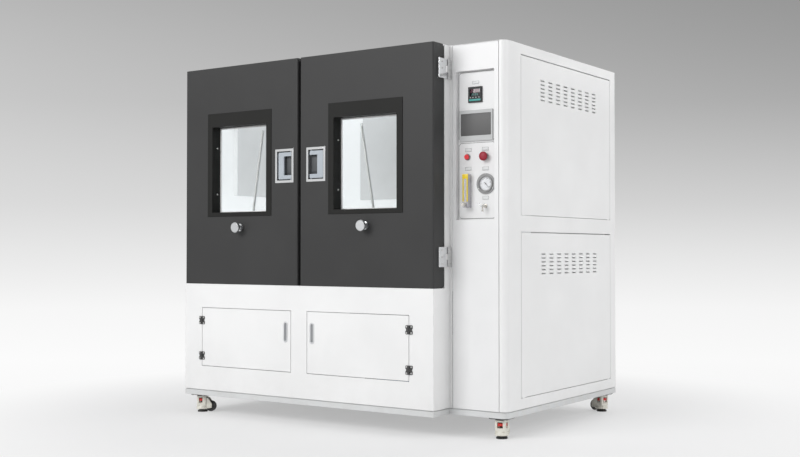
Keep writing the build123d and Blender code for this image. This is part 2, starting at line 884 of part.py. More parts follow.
def gauge_needle():
    """The pointer on its spindle, standing at the zero of a vacuum scale, at the lower right."""
    front = column_setback + recess_depth
    blade = make_face(
        Polyline((-1.6, -needle_tail), (1.6, -needle_tail), (0.5, needle_length), (-0.5, needle_length), close=True)
    )
    pointer = Rot(0, 0, -needle_start) * extrude(blade, amount=1)
    pointer += Pos(0, 0, 0.5) * Cylinder(3, 1)
    pointer = Pos(0, 0, 3.2) * pointer
    pointer += Pos(0, 0, 1.6) * Cylinder(1, 4.2)
    return facing_front(pointer, gauge_centre[0], front, gauge_centre[1])


def flow_meter_body():
    """The clear flow meter block with its tapered bore, end blocks and the valve's seat."""
    front = column_setback + recess_depth
    y = (front - flow_depth, front)
    body = block(flow_x, y, flow_z)
    body = fillet(body.edges().filter_by(Axis.Z).group_by(Axis.Y)[0], sheet)
    bore_low = flow_z[0] + flow_bore_inset
    bore_high = flow_z[1] - flow_bore_inset
    x = (flow_x[0] + flow_x[1]) / 2
    centre_y = front - flow_depth / 2
    taper = Pos(x, centre_y, (bore_low + bore_high) / 2) * Cone(
        flow_bore_radius, flow_bore_top_radius, bore_high - bore_low
    )
    body -= taper
    seat = (y[0] - 1, y[0] + flow_depth / 3)
    return body - drum_y(x, valve_height, seat, valve_stem_radius + running_fit)


def flow_float():
    """The float of the flow meter, at the foot of its tube as when no air flows."""
    front = column_setback + recess_depth
    x = (flow_x[0] + flow_x[1]) / 2
    low = flow_z[0] + flow_bore_inset + clearance
    profile = [
        (0, 0),
        (1.2, 0),
        (float_radius, float_tall * 0.6),
        (float_radius, float_tall * 0.8),
        (1.5, float_tall),
        (0, float_tall),
    ]
    return Pos(x, front - flow_depth / 2, low) * turned_profile(profile)


def flow_valve_knob():
    """The knurled needle-valve knob that stands out of the flow meter's foot."""
    front = column_setback + recess_depth - flow_depth
    x = (flow_x[0] + flow_x[1]) / 2
    knob = Cylinder(valve_knob_radius, valve_knob_length)
    for angle in range(0, 360, 30):
        knob -= Rot(0, 0, angle) * Pos(valve_knob_radius + 0.6, 0, 0) * Cylinder(1.4, valve_knob_length + 1)
    knob = Pos(0, 0, valve_knob_length / 2 + 3) * knob
    depth = flow_depth / 3 - clearance
    knob += Pos(0, 0, (4 - depth) / 2) * Cylinder(valve_stem_radius, depth + 4)
    return facing_front(knob, x, front, valve_height)


def pressure_tap():
    """A small nickel valve body with a spout that points down, for the vacuum line."""
    front = column_setback + recess_depth
    x, z = tap_centre
    body = drum_y(x, z, (front - tap_projection, front + tap_projection / 2), tap_radius)
    flange = drum_y(x, z, (front - 4, front), tap_radius + 4)
    spout_y = front - tap_projection + tap_radius + 2
    spout = drum_z(x, spout_y, (z - tap_spout_length, z), tap_spout_radius)
    barb = drum_z(x, spout_y, (z - tap_spout_length, z - tap_spout_length + 4), tap_spout_radius + 1)
    bore = drum_y(x, z, (front - tap_projection - 1, front - tap_projection + 6), 2 + running_fit)
    return body + flange + spout + barb - bore


def tap_lever():
    """The valve's quarter-turn lever."""
    front = column_setback + recess_depth - tap_projection
    x, z = tap_centre
    hub = Pos(0, 0, 2.8) * Cylinder(5, 5) + Pos(0, 0, -2) * Cylinder(2, 6)
    arm = Pos(0, tap_lever_length / 2, 3.3) * Box(6, tap_lever_length, 3)
    arm = fillet(arm.edges().filter_by(Axis.Z), 2.5)
    lever = hub + arm
    return facing_front(Rot(0, 0, tap_lever_lean) * lever, x, front, z)


def door_shell(door):
    """A hollow door of two sheet skins, with openings for the window, the handle tray and the wiper."""
    x = door["x"]
    z = (door_bottom, door_top)
    shell = block(x, (0, door_thickness), z)
    shell = fillet(shell.edges().filter_by(Axis.Z).group_by(Axis.Y)[0], door_corner_radius)
    sill = shell.edges().filter_by(Axis.X).group_by(Axis.Y)[-1].group_by(Axis.Z)[0]
    shell = fillet(sill, door_sill_radius)
    void = block(grown(x, -sheet), (sheet, door_thickness - sheet), grown(z, -sheet))
    void = fillet(void.edges().filter_by(Axis.Z).group_by(Axis.Y)[0], door_corner_radius - sheet)
    sill = void.edges().filter_by(Axis.X).group_by(Axis.Y)[-1].group_by(Axis.Z)[0]
    shell -= fillet(sill, door_sill_radius - sheet)
    bush = drum_y(knob_x(door), wiper_height, (sheet / 2, door_thickness - sheet / 2), wiper_bush_radius)
    shell += bush
    bore = drum_y(knob_x(door), wiper_height, (-1, door_thickness + 1), wiper_shaft_radius + running_fit)
    shell -= bore
    frame_x = grown(window_opening_x(door), window_wall + clearance)
    frame_z = grown(window_opening_z(), window_wall + clearance)
    shell -= block(frame_x, (-1, 2 * sheet), frame_z)
    glass_x = grown(window_opening_x(door), glass_overlap + clearance)
    glass_z = grown(window_opening_z(), glass_overlap + clearance)
    shell -= block(glass_x, (door_thickness - 2 * sheet, door_thickness + 1), glass_z)
    tray_x = grown(around(handle_x(door), handle_width), clearance - handle_border)
    tray_z = grown(around(handle_height, handle_tall), clearance - handle_border)
    return shell - block(tray_x, (-1, 2 * sheet), tray_z)


def window_frame(door):
    """The deep black window frame: a flange with a taller head and a reveal that reaches the glass."""
    x = window_opening_x(door)
    z = window_opening_z()
    frame = block(window_x(door), (-window_proud, 0), (window_bottom, window_top))
    frame = chamfer(frame.edges().group_by(Axis.Y)[0], window_proud / 3)
    frame += block(grown(x, window_wall), (0, door_thickness - glass_thickness), grown(z, window_wall))
    return frame - block(x, (-window_proud - 1, door_thickness), z)


def window_glass(door):
    """The pane that lies against the frame's reveal, flush with the door's inner skin."""
    x = grown(window_opening_x(door), glass_overlap)
    z = grown(window_opening_z(), glass_overlap)
    return block(x, (door_thickness - glass_thickness, door_thickness), z)


def door_gasket(door):
    """The rubber seal round the back of a door."""
    x = grown(door["x"], -gasket_inset)
    z = grown((door_bottom, door_top), -gasket_inset)
    y = (door_thickness, door_thickness + gasket_depth - clearance)
    ring = block(x, y, z)
    ring = fillet(ring.edges().filter_by(Axis.Y), door_sill_radius)
    return ring - block(grown(x, -gasket_width), grown(y, 1), grown(z, -gasket_width))


def handle_tray(door):
    """The pressed tray that the door handle swings in, with its bright rim."""
    x = around(handle_x(door), handle_width)
    z = around(handle_height, handle_tall)
    rim = block(x, (-handle_proud, 0), z)
    rim = fillet(rim.edges().filter_by(Axis.Y), 3)
    rim = fillet(rim.edges().group_by(Axis.Y)[0], handle_proud / 2)
    tub_x = grown(x, -handle_border)
    tub_z = grown(z, -handle_border)
    tray = rim + block(tub_x, (0, handle_depth), tub_z)
    tray -= block(grown(tub_x, -handle_wall), (-handle_proud - 1, handle_depth - handle_wall), grown(tub_z, -handle_wall))
    pin = paddle_pin(door)
    return tray - drum_z(pin[0], pin[1], grown(z, 1), paddle_pin_radius + running_fit)


def paddle_pin(door):
    """Where the paddle's pivot pin stands: near the meeting edge of the doors."""
    toward_gap = -door["hinge_side"]
    x = handle_x(door) + toward_gap * (paddle_width / 2 - paddle_pin_inset)
    return (x, paddle_sink + paddle_thickness / 2)


def handle_paddle(door):
    """The C-shaped pull that pivots on a pin in its tray."""
    toward_gap = -door["hinge_side"]
    x = around(handle_x(door), paddle_width)
    z = around(handle_height, paddle_tall)
    y = (paddle_sink, paddle_sink + paddle_thickness)
    paddle = block(x, y, z)
    paddle = fillet(paddle.edges().filter_by(Axis.Y), 6)
    if toward_gap > 0:
        slot_x = (x[0] + paddle_bar, x[1] + 1)
    else:
        slot_x = (x[0] - 1, x[1] - paddle_bar)
    paddle -= block(slot_x, grown(y, 1), grown(z, -paddle_arm))
    paddle = fillet(paddle.edges().filter_by(Axis.Z).group_by(SortBy.LENGTH)[-1], 2.5)
    pin_x, pin_y = paddle_pin(door)
    reach = handle_tall / 2 - handle_border
    for side in (-1, 1):
        ends = sorted((side * (paddle_tall / 2 - 2), side * reach))
        pin = drum_z(pin_x, pin_y, (handle_height + ends[0], handle_height + ends[1]), paddle_pin_radius)
        paddle += pin
    return paddle


def hinge_segments(centre, tall):
    """Heights of the three knuckles of a hinge, lowest first, with a running gap between them."""
    third = tall / 3
    low = centre - tall / 2
    return [(low + index * third + clearance / 2, low + (index + 1) * third - clearance / 2) for index in range(3)]


def door_hinge_x(side, inset=0.0):
    """The band that a door hinge fills beside the body, on the left or right side."""
    edge = 0.0 if side < 0 else main_width
    far = edge + side * (door_hinge_thickness - inset)
    return tuple(sorted((edge, far)))


def door_hinge_axis_x(side):
    edge = 0.0 if side < 0 else main_width
    return edge + side * door_hinge_thickness / 2


def door_leaf(side, centre):
    """The leaf on the door's edge, with the outer two knuckles bored for the pin."""
    x = door_hinge_x(side)
    axis_x = door_hinge_axis_x(side)
    leaf = block(x, (door_hinge_front, door_hinge_axis - door_hinge_gap), around(centre, door_hinge_tall))
    front_edges = leaf.edges().filter_by(Axis.Z).group_by(Axis.Y)[0]
    leaf = fillet(front_edges.sort_by(Axis.X)[-1 if side > 0 else 0], sheet)
    knuckle = door_hinge_thickness / 2 - clearance
    for index in (0, 2):
        z = hinge_segments(centre, door_hinge_tall)[index]
        web = grown(x, -clearance)
        leaf += block(web, (door_hinge_axis - door_hinge_gap - 1, door_hinge_axis), z)
        leaf += drum_z(axis_x, door_hinge_axis, z, knuckle)
    bore = grown(around(centre, door_hinge_tall), 1)
    return leaf - drum_z(axis_x, door_hinge_axis, bore, hinge_pin_radius + running_fit)


def fixed_door_leaf(side, centre):
    """The leaf on the body's side, with the middle knuckle and the pin."""
    x = door_hinge_x(side)
    axis_x = door_hinge_axis_x(side)
    end = column_setback - clearance
    leaf = block(x, (door_hinge_axis + door_hinge_gap, end), around(centre, door_hinge_tall))
    z = hinge_segments(centre, door_hinge_tall)[1]
    web = grown(x, -clearance)
    leaf += block(web, (door_hinge_axis, door_hinge_axis + door_hinge_gap + 1), z)
    leaf += drum_z(axis_x, door_hinge_axis, z, door_hinge_thickness / 2 - clearance)
    pin = around(centre, door_hinge_tall)
    return leaf + drum_z(axis_x, door_hinge_axis, pin, hinge_pin_radius)


def door_hardware(door):
    """The handle tray and the two hinge leaves that are screwed to one door."""
    pieces = [handle_tray(door)]
    for centre in door_hinge_centres:
        pieces.append(door_leaf(door["hinge_side"], centre))
    return group(pieces)


def wiper(door):
    """The manual window wiper: knob, shaft through the door and the arm with its blade inside."""
    profile = [
        (0, wiper_projection),
        (wiper_knob_radius - 3, wiper_projection),
        (wiper_knob_radius, wiper_projection - 3),
        (wiper_knob_radius, wiper_projection - wiper_knob_depth),
        (wiper_neck_radius, wiper_projection - wiper_knob_depth - 3),
        (wiper_neck_radius, wiper_collar_depth),
        (wiper_collar_radius, wiper_collar_depth - 2),
        (wiper_collar_radius, clearance),
        (wiper_shaft_radius, clearance),
        (wiper_shaft_radius, -door_thickness - wiper_blade_thickness - wiper_arm_thickness),
        (0, -door_thickness - wiper_blade_thickness - wiper_arm_thickness),
    ]
    knob = facing_front(turned_profile(profile), knob_x(door), 0, wiper_height)
    blade_y = (door_thickness + clearance, door_thickness + wiper_blade_thickness)
    arm_y = (blade_y[1], blade_y[1] + wiper_arm_thickness)
    hub = drum_y(knob_x(door), wiper_height, (blade_y[0], arm_y[1]), wiper_hub_radius)
    x = knob_x(door)
    arm = block(around(x, wiper_arm_width), arm_y, (wiper_height, wiper_height + wiper_arm_length))
    blade_z = (wiper_height + wiper_blade_start, wiper_height + wiper_arm_length - wiper_arm_width)
    blade = block(around(x, wiper_blade_width), blade_y, blade_z)
    pivot = Axis((x, 0, wiper_height), (0, 1, 0))
    return knob + hub + (arm + blade).rotate(pivot, door["wiper_lean"])


def hatch_x(side):
    left = hatch_left_edges[side]
    return (left, left + hatch_width)


def hatch_axis_x(side):
    """The hatch hinges stand on the seam away from the middle of the front."""
    return hatch_x(side)[0] if side == "left" else hatch_x(side)[1]


def hatch_panel(side):
    """A folded hatch pan with a slot for its pull."""
    x = grown(hatch_x(side), -hatch_gap)
    z = grown((hatch_bottom, hatch_top), -hatch_gap)
    pan = block(x, (0, hatch_thickness), z)
    pan -= block(grown(x, -sheet), (sheet, hatch_thickness + 1), grown(z, -sheet))
    slot = extrude(Rot(0, 0, 90) * SlotOverall(pull_tall - 2 * pull_rim, pull_width - 2 * pull_rim), amount=4 * sheet)
    return pan - facing_front(slot, pull_centres[side], 3 * sheet, pull_height)


def hatch_pull(side):
    """The pressed oval pull: a rim on the hatch and a cup behind it."""
    rim = extrude(Rot(0, 0, 90) * SlotOverall(pull_tall, pull_width), amount=pull_proud)
    rim = fillet(rim.edges().group_by(Axis.Z)[-1], pull_proud / 2)
    cup_tall = pull_tall - 2 * pull_rim - 2 * clearance
    cup_width = pull_width - 2 * pull_rim - 2 * clearance
    cup = extrude(Rot(0, 0, 90) * SlotOverall(cup_tall, cup_width), amount=-pull_depth)
    hollow = extrude(Rot(0, 0, 90) * SlotOverall(cup_tall - 2, cup_width - 2), amount=pull_depth)
    pull = rim + cup - Pos(0, 0, 1 - pull_depth) * hollow - hollow
    return facing_front(pull, pull_centres[side], 0, pull_height)


def hatch_leaf(side, centre, moving):
    """One leaf of a small butterfly hinge; the moving leaf has the middle knuckle."""
    axis_x = hatch_axis_x(side)
    inward = 1 if side == "left" else -1
    reach = inward if moving else -inward
    half = hatch_hinge_width / 2
    plate_x = sorted((axis_x + reach * (hatch_knuckle_radius + 1), axis_x + reach * half))
    leaf = block(plate_x, (-hatch_hinge_leaf, 0), around(centre, hatch_hinge_tall))
    outer_edges = leaf.edges().filter_by(Axis.Y).sort_by(Axis.X)
    leaf = fillet(outer_edges[-2:] if reach > 0 else outer_edges[:2], 5)
    waist_x = axis_x + reach * half
    leaf -= drum_y(waist_x + reach * 4, centre, (-hatch_hinge_leaf - 1, 1), 8)
    segments = hinge_segments(centre, hatch_hinge_tall)
    for z in [segments[1]] if moving else [segments[0], segments[2]]:
        web_x = sorted((axis_x, axis_x + reach * (hatch_knuckle_radius + 2)))
        leaf += block(web_x, (-hatch_axis_proud, -hatch_axis_proud + hatch_hinge_leaf), z)
        bridge_x = sorted((axis_x + reach * (hatch_knuckle_radius + 1), axis_x + reach * (hatch_knuckle_radius + 3)))
        leaf += block(bridge_x, (-hatch_axis_proud, 0), z)
        leaf += drum_z(axis_x, -hatch_axis_proud, z, hatch_knuckle_radius)
    pin_z = around(centre, hatch_hinge_tall)
    if moving:
        return leaf - drum_z(axis_x, -hatch_axis_proud, pin_z, 1 + running_fit)
    return leaf + drum_z(axis_x, -hatch_axis_proud, pin_z, 1)


def hatch_fittings(side):
    """The pull and the two moving hinge leaves of one hatch."""
    pieces = [hatch_pull(side)]
    for centre in hatch_hinge_centres:
        pieces.append(hatch_leaf(side, centre, True))
    return group(pieces)


def hinge_fixed_leaves():
    """All leaves that are screwed to the body: four door hinges and four hatch hinges."""
    pieces = []
    for side in (-1, 1):
        for centre in door_hinge_centres:
            pieces.append(fixed_door_leaf(side, centre))
    for side in ("left", "right"):
        for centre in hatch_hinge_centres:
            pieces.append(hatch_leaf(side, centre, False))
    return group(pieces)


def volute_plan(inset):
    """Plan of the blower's spiral casing with its tangential outlet, drawn inset but open at the outlet."""
    spiral = []
    for angle in range(0, 361, 30):
        radius = volute_start - inset + volute_growth * angle / 360
        spiral.append((radius * math.cos(math.radians(angle)), radius * math.sin(math.radians(angle))))
    scroll = make_face([Spline(*spiral), Line(spiral[-1], spiral[0])])
    outlet_x = grown((volute_start, volute_start + volute_growth), -inset)
    outlet_length = riser_y[0] - blower_y + inset
    outlet = Pos((outlet_x[0] + outlet_x[1]) / 2, outlet_length / 2 - inset) * Rectangle(
        outlet_x[1] - outlet_x[0], outlet_length
    )
    return scroll + outlet


def blower_housing():
    """The circulation fan's spiral casing, its motor on a stand and the riser duct behind the chamber."""
    centre = Pos(blower_x, blower_y, volute_bottom)
    casing = extrude(volute_plan(0), amount=volute_tall, dir=(0, 0, 1))
    room = extrude(volute_plan(duct_wall), amount=volute_tall - 2 * duct_wall, dir=(0, 0, 1))
    casing -= Pos(0, 0, duct_wall) * room
    casing -= Pos(0, 0, volute_tall) * Cylinder(inlet_radius, 4 * duct_wall)
    casing -= Cylinder(motor_shaft_radius + 1, 4 * duct_wall)
    duct_x = (blower_x + volute_start, blower_x + volute_start + volute_growth)
    duct_z = (volute_bottom, riser_top)
    mouth = (chamber_back, riser_y[1])
    riser = block(duct_x, riser_y, duct_z) + block(duct_x, mouth, (riser_outlet, riser_top))
    inner_x = grown(duct_x, -duct_wall)
    riser -= block(inner_x, grown(riser_y, -duct_wall), grown(duct_z, -duct_wall))
    riser -= block(inner_x, (chamber_back - 1, riser_y[1] - duct_wall), grown((riser_outlet, riser_top), -duct_wall))
    inlet_z = grown((volute_bottom, volute_bottom + volute_tall), -duct_wall)
    riser -= block(inner_x, (riser_y[0] - 1, riser_y[0] + duct_wall + 1), inlet_z)
    motor_z = (plinth_top + motor_lift, volute_bottom)
    motor = drum_z(blower_x, blower_y, motor_z, motor_radius)
    motor = fillet(motor.edges().group_by(Axis.Z)[0], 10)
    stand_z = (plinth_top, plinth_top + motor_stand_tall)
    stand = block(around(blower_x, motor_stand_width), around(blower_y, motor_stand_depth), stand_z)
    bore_z = (volute_bottom - motor_shaft_depth, volute_bottom + 1)
    bore = drum_z(blower_x, blower_y, bore_z, motor_shaft_radius + running_fit)
    return group([centre * casing, riser, motor + stand - bore])


def blower_impeller():
    """A forward-curved impeller: back plate, hub and a ring of curved blades."""
    plate_z = volute_bottom + duct_wall + 5
    wheel = Pos(0, 0, impeller_plate / 2) * Cylinder(impeller_radius, impeller_plate)
    wheel += Pos(0, 0, impeller_tall / 4) * Cylinder(impeller_hub, impeller_tall / 2)
    outer_start = (impeller_inner, 0)
    outer_end = (impeller_radius * math.cos(math.radians(10)), impeller_radius * math.sin(math.radians(10)))
    bulge = ((outer_start[0] + outer_end[0]) / 2 + 5, outer_end[1] / 2 - 5)
    concave = ThreePointArc(outer_start, bulge, outer_end)
    back_start = (outer_start[0] + blade_thickness / 2, -blade_thickness)
    back_end = (outer_end[0] + blade_thickness / 2, outer_end[1] - blade_thickness)
    back_bulge = (bulge[0] + blade_thickness / 2, bulge[1] - blade_thickness)
    convex = ThreePointArc(back_end, back_bulge, back_start)
    section = make_face([concave, Line(outer_end, back_end), convex, Line(back_start, outer_start)])
    blade = extrude(section, amount=impeller_tall)
    blades = [Rot(0, 0, index * 360 / impeller_blades) * blade for index in range(impeller_blades)]
    rim = Cylinder(impeller_radius, 2) - Cylinder(impeller_inner, 3)
    wheel = wheel + blades + Pos(0, 0, impeller_tall) * rim
    wheel += Pos(0, 0, -motor_shaft_depth / 2 + 1) * Cylinder(motor_shaft_radius, motor_shaft_depth)
    return Pos(blower_x, blower_y, plate_z) * wheel


def vacuum_pump():
    """The vacuum pump on its foot plate: finned head, motor and exhaust filter."""
    floor = plinth_top
    low_x, high_x = around(pump_x, pump_length)
    axis_z = floor + pump_base + pump_motor_radius + pump_axis_gap
    head_top = axis_z + pump_head_rise
    split = pump_x + pump_split
    base = block((low_x, high_x), around(pump_y, 2 * pump_motor_radius), (floor, floor + pump_base))
    motor = drum_x(pump_y, axis_z, (low_x + pump_motor_inset, split), pump_motor_radius)
    head = block((split, high_x - pump_head_inset), around(pump_y, pump_head_width), (floor, head_top))
    head = fillet(head.edges().filter_by(Axis.X), 12)
    feet = [
        block(around(pump_x + place, pump_foot_thickness), around(pump_y, pump_foot_width), (floor, axis_z))
        for place in pump_feet
    ]
    fins = []
    for index in range(pump_fins):
        place = low_x + pump_fin_start + index * pump_fin_pitch
        fins.append(drum_x(pump_y, axis_z, (place, place + pump_fin_thickness), pump_motor_radius + pump_fin_height))
    filter_z = (head_top, head_top + pump_filter_tall)
    filter_can = drum_z(high_x - pump_filter_inset, pump_y, filter_z, pump_filter_radius)
    filter_can = fillet(filter_can.edges().group_by(Axis.Z)[-1], 6)
    return base + motor + head + feet + fins + filter_can


def caster_plates():
    """The dark top plates of the four casters, each with the race that its housing turns under."""
    plates = []
    for caster in casters.values():
        x, y = caster["place"]
        z = (caster_height - caster_plate_thickness, caster_height)
        plate = block(around(x, caster_plate), around(y, caster_plate), z)
        plate = fillet(plate.edges().filter_by(Axis.Z), 6)
        race = drum_z(x, y, (z[0] - race_height, z[0]), race_radius)
        plates.append(chamfer((plate + race).edges().group_by(Axis.Z)[0], 1.5))
    return group(plates)


def caster_place(caster):
    """Turns a caster drawn with its wheel towards +X to its heading and moves it to its corner."""
    x, y = caster["place"]
    return Pos(x, y, 0) * Rot(0, 0, caster["heading"])


def caster_housing():
    """The cast swivel housing: tower with dial windows, flared skirt, cheeks and axle."""
    top = caster_height - caster_plate_thickness - race_height - clearance
    half = housing_width / 2
    tower = block((-half, half), (-half, half), (skirt_top - 8, top))
    tower = fillet(tower.edges().filter_by(Axis.Z), 8)
    cap = Pos(0, 0, top - 4) * Cylinder(housing_top_radius, 8)
    skirt = Pos(0, 0, (skirt_bottom + skirt_top) / 2 + 3) * Cone(
        skirt_radius, half - 3, skirt_top - skirt_bottom - 6
    )
    skirt += Pos(0, 0, skirt_bottom + 3) * Cylinder(skirt_radius, 6)
    housing = tower + cap + skirt
    cheek_inner = wheel_width / 2 + cheek_gap
    axle_z = wheel_lift + wheel_radius
    cheek_outline = make_face(
        Polyline(
            (0, 0, top - 10),
            (wheel_offset - 12, 0, top - 12),
            (wheel_offset + 8, 0, axle_z + 14),
            (wheel_offset + 8, 0, axle_z - 9),
            (wheel_offset - 12, 0, axle_z - 11),
            (0, 0, axle_z - 8),
            close=True,
        )
    )
    cheek = extrude(cheek_outline, amount=cheek_thickness, dir=(0, 1, 0))
    cheek = fillet(cheek.edges().filter_by(Axis.Y).group_by(Axis.X)[-1], 6)
    housing += Pos(0, cheek_inner, 0) * cheek
    housing += Pos(0, -cheek_inner - cheek_thickness, 0) * cheek
    wheel_room = wheel_radius + 2
    housing -= drum_y(wheel_offset, axle_z, grown((-cheek_inner, cheek_inner), 0), wheel_room)
    axle = (-cheek_inner - cheek_thickness - 2, cheek_inner + cheek_thickness + 2)
    housing += drum_y(wheel_offset, axle_z, axle, axle_radius)
    dial_room = (dial_bottom - 2, dial_bottom + dial_height + 2)
    housing -= drum_z(0, 0, dial_room, dial_radius + 1)
    window_z = (dial_bottom - 10, dial_bottom - 10 + window_opening)
    housing -= block((-half - 1, 0), around(0, window_opening), window_z)
    housing -= block(around(-4, window_opening - 8), (-half - 1, half + 1), window_z)
    stem_room = (0, dial_room[1] + 6)
    return housing - drum_z(0, 0, stem_room, foot_stem_radius + clearance)


def caster_wheel():
    """The black wheel, with a rounded tread and sunk hub faces."""
    half = wheel_width / 2
    profile = [
        (axle_radius + running_fit, half - 1),
        (wheel_radius * 0.45, half - 1),
        (wheel_radius * 0.5, half - 4),
        (wheel_radius * 0.78, half - 4),
        (wheel_radius * 0.84, half),
        (wheel_radius - 3, half),
        (wheel_radius, half - 4),
    ]
    lower = [(radius, -height) for radius, height in reversed(profile)]
    wheel = facing_front(turned_profile(profile + lower), wheel_offset, 0, wheel_lift + wheel_radius)
    return wheel


def caster_dial():
    """The red thumb dial that screws the foot down, with a scalloped rim."""
    dial = Cylinder(dial_radius, dial_height)
    for angle in range(0, 360, 20):
        dial -= Rot(0, 0, angle) * Pos(dial_radius + 1.2, 0, 0) * Cylinder(2.6, dial_height + 1)
    dial -= Cylinder(foot_stem_radius + running_fit, dial_height + 1)
    return Pos(0, 0, dial_bottom + dial_height / 2) * dial


def caster_foot():
    """The levelling foot: rubber-faced pad and threaded stem in one turned profile."""
    stem_top = dial_bottom + dial_height + 1
    profile = [
        (0, 0),
        (foot_radius, 0),
        (foot_radius, foot_height - 3),
        (foot_radius - 4, foot_height),
        (foot_stem_radius, foot_height),
        (foot_stem_radius, stem_top),
        (0, stem_top),
    ]
    return turned_profile(profile)


def write(name, shape):
    """Writes one piece, moved so that the footprint's middle on the floor is the origin."""
    placed = [origin * solid for solid in shape.solids()]
    export_step(Compound(placed), os.path.join("parts", name + ".step"))


def main():
    os.makedirs("parts", exist_ok=True)
    write("base_frame", base_frame())
    write("caster_plates", caster_plates())
    write("casing_shell", casing_shell())
    write("column_front_panel", column_front_panel())
    write("side_panels", side_panels())
    write("rear_panel", rear_panel())
    write("chamber_liner", chamber_liner())
    write("sample_shelf", sample_shelf())
    write("control_plates", control_plates())
    write("temperature_controller", temperature_controller())
    write("touch_screen", touch_screen())
    write("switch_collars", switch_collars())
    write("start_button", start_button())
    write("emergency_stop", emergency_stop())
    write("gauge_case", gauge_case())
    write("gauge_lens", gauge_lens())
    write("gauge_needle", gauge_needle())
    write("flow_meter_body", flow_meter_body())
    write("flow_float", flow_float())
    write("flow_valve_knob", flow_valve_knob())
    write("pressure_tap", pressure_tap())
    write("tap_lever", tap_lever())
    write("hinge_fixed_leaves", hinge_fixed_leaves())
    write("blower_housing", blower_housing())
    write("blower_impeller", blower_impeller())
    write("vacuum_pump", vacuum_pump())
    for side, door in doors.items():
        write(side + "_door_shell", door_shell(door))
        write(side + "_window_frame", window_frame(door))
        write(side + "_window_glass", window_glass(door))
        write(side + "_door_gasket", door_gasket(door))
        write(side + "_door_hardware", door_hardware(door))
        write(side + "_handle_paddle", handle_paddle(door))
        write(side + "_wiper", wiper(door))
        write(side + "_hatch_panel", hatch_panel(side))
        write(side + "_hatch_fittings", hatch_fittings(side))
    for corner, caster in casters.items():
        place = caster_place(caster)
        write(corner + "_caster_housing", place * caster_housing())
        write(corner + "_caster_wheel", place * caster_wheel())
        write(corner + "_caster_dial", place * caster_dial())
        write(corner + "_caster_foot", place * caster_foot())


if __name__ == "__main__":
    main()
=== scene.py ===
"""Looks of a two-door environmental test chamber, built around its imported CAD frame.

Sizes are in millimetres in cabinet coordinates, as in the part's source: X from the main box's left side,
Y from the door fronts towards the back and Z from the floor. `at` turns them into the frame's metres.
"""

import json
import logging
import math
from dataclasses import dataclass, field
from enum import Enum
from typing import Callable, ClassVar, Iterable, Optional, Protocol, Sequence

import bpy
from mathutils import Euler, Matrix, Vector

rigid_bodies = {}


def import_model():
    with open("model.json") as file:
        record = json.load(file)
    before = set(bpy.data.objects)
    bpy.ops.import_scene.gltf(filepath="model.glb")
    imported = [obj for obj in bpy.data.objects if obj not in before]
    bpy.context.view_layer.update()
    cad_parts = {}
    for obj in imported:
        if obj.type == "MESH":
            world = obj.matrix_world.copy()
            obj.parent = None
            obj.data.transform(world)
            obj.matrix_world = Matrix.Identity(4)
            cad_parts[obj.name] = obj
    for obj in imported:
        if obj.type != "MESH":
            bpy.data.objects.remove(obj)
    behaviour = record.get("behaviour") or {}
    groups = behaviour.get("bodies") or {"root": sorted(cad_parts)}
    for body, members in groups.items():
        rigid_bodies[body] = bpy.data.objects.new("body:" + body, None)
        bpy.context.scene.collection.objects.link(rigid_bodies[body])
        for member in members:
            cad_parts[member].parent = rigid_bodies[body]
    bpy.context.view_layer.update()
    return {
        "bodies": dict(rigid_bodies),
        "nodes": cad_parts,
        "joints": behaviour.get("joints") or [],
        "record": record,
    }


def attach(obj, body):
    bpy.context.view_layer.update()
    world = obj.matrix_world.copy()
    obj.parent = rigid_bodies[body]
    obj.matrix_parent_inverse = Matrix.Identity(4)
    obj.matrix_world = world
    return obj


LOG = logging.getLogger("test_chamber")
MM = 0.001
MIDDLE = Vector((922.25, 647.5, 0.0))
BEVEL_SAMPLES = 4
SMOOTH_ANGLE = math.radians(35)
MERGE_DISTANCE = 1e-6

Colour = tuple[float, float, float]
Pair = tuple[float, float]
Point = tuple[float, float, float]
Shade = Callable[["Wiring", bpy.types.NodeOutputs], bpy.types.NodeSocket]

WHITE: Colour = (1.0, 1.0, 1.0)


class Facing(Enum):
    """Which way a turned or flat piece looks, as the Euler angles that turn +Z that way."""

    FRONT = (math.radians(90), 0.0, 0.0)
    BACK = (math.radians(-90), 0.0, 0.0)
    RIGHT = (0.0, math.radians(90), 0.0)
    LEFT = (0.0, math.radians(-90), 0.0)
    DOWN = (math.radians(180), 0.0, 0.0)


class Grain(Enum):
    """The direction in which a metal was brushed, as the noise's stretch along X, Y and Z."""

    ALONG_Z = (1.0, 1.0, 0.03)
    NONE = (1.0, 1.0, 1.0)


def at(x: float, y: float, z: float) -> Vector:
    """Turns cabinet millimetres into the frame's metres."""
    return (Vector((x, y, z)) - MIDDLE) * MM


def span(middle: float, half: float) -> Pair:
    """The two ends of a stretch about its middle."""
    return (middle - half, middle + half)


# Shader building


def socket(group: bpy.types.NodeTree, name: str, side: str, value: Optional[float] = None) -> None:
    """Adds one named float socket to a node group's interface.

    Args:
        group: the node group.
        name: the socket's name.
        side: INPUT or OUTPUT.
        value: an input's default.
    """
    item = group.interface.new_socket(name=name, in_out=side, socket_type="NodeSocketFloat")
    if value is not None:
        item.default_value = value


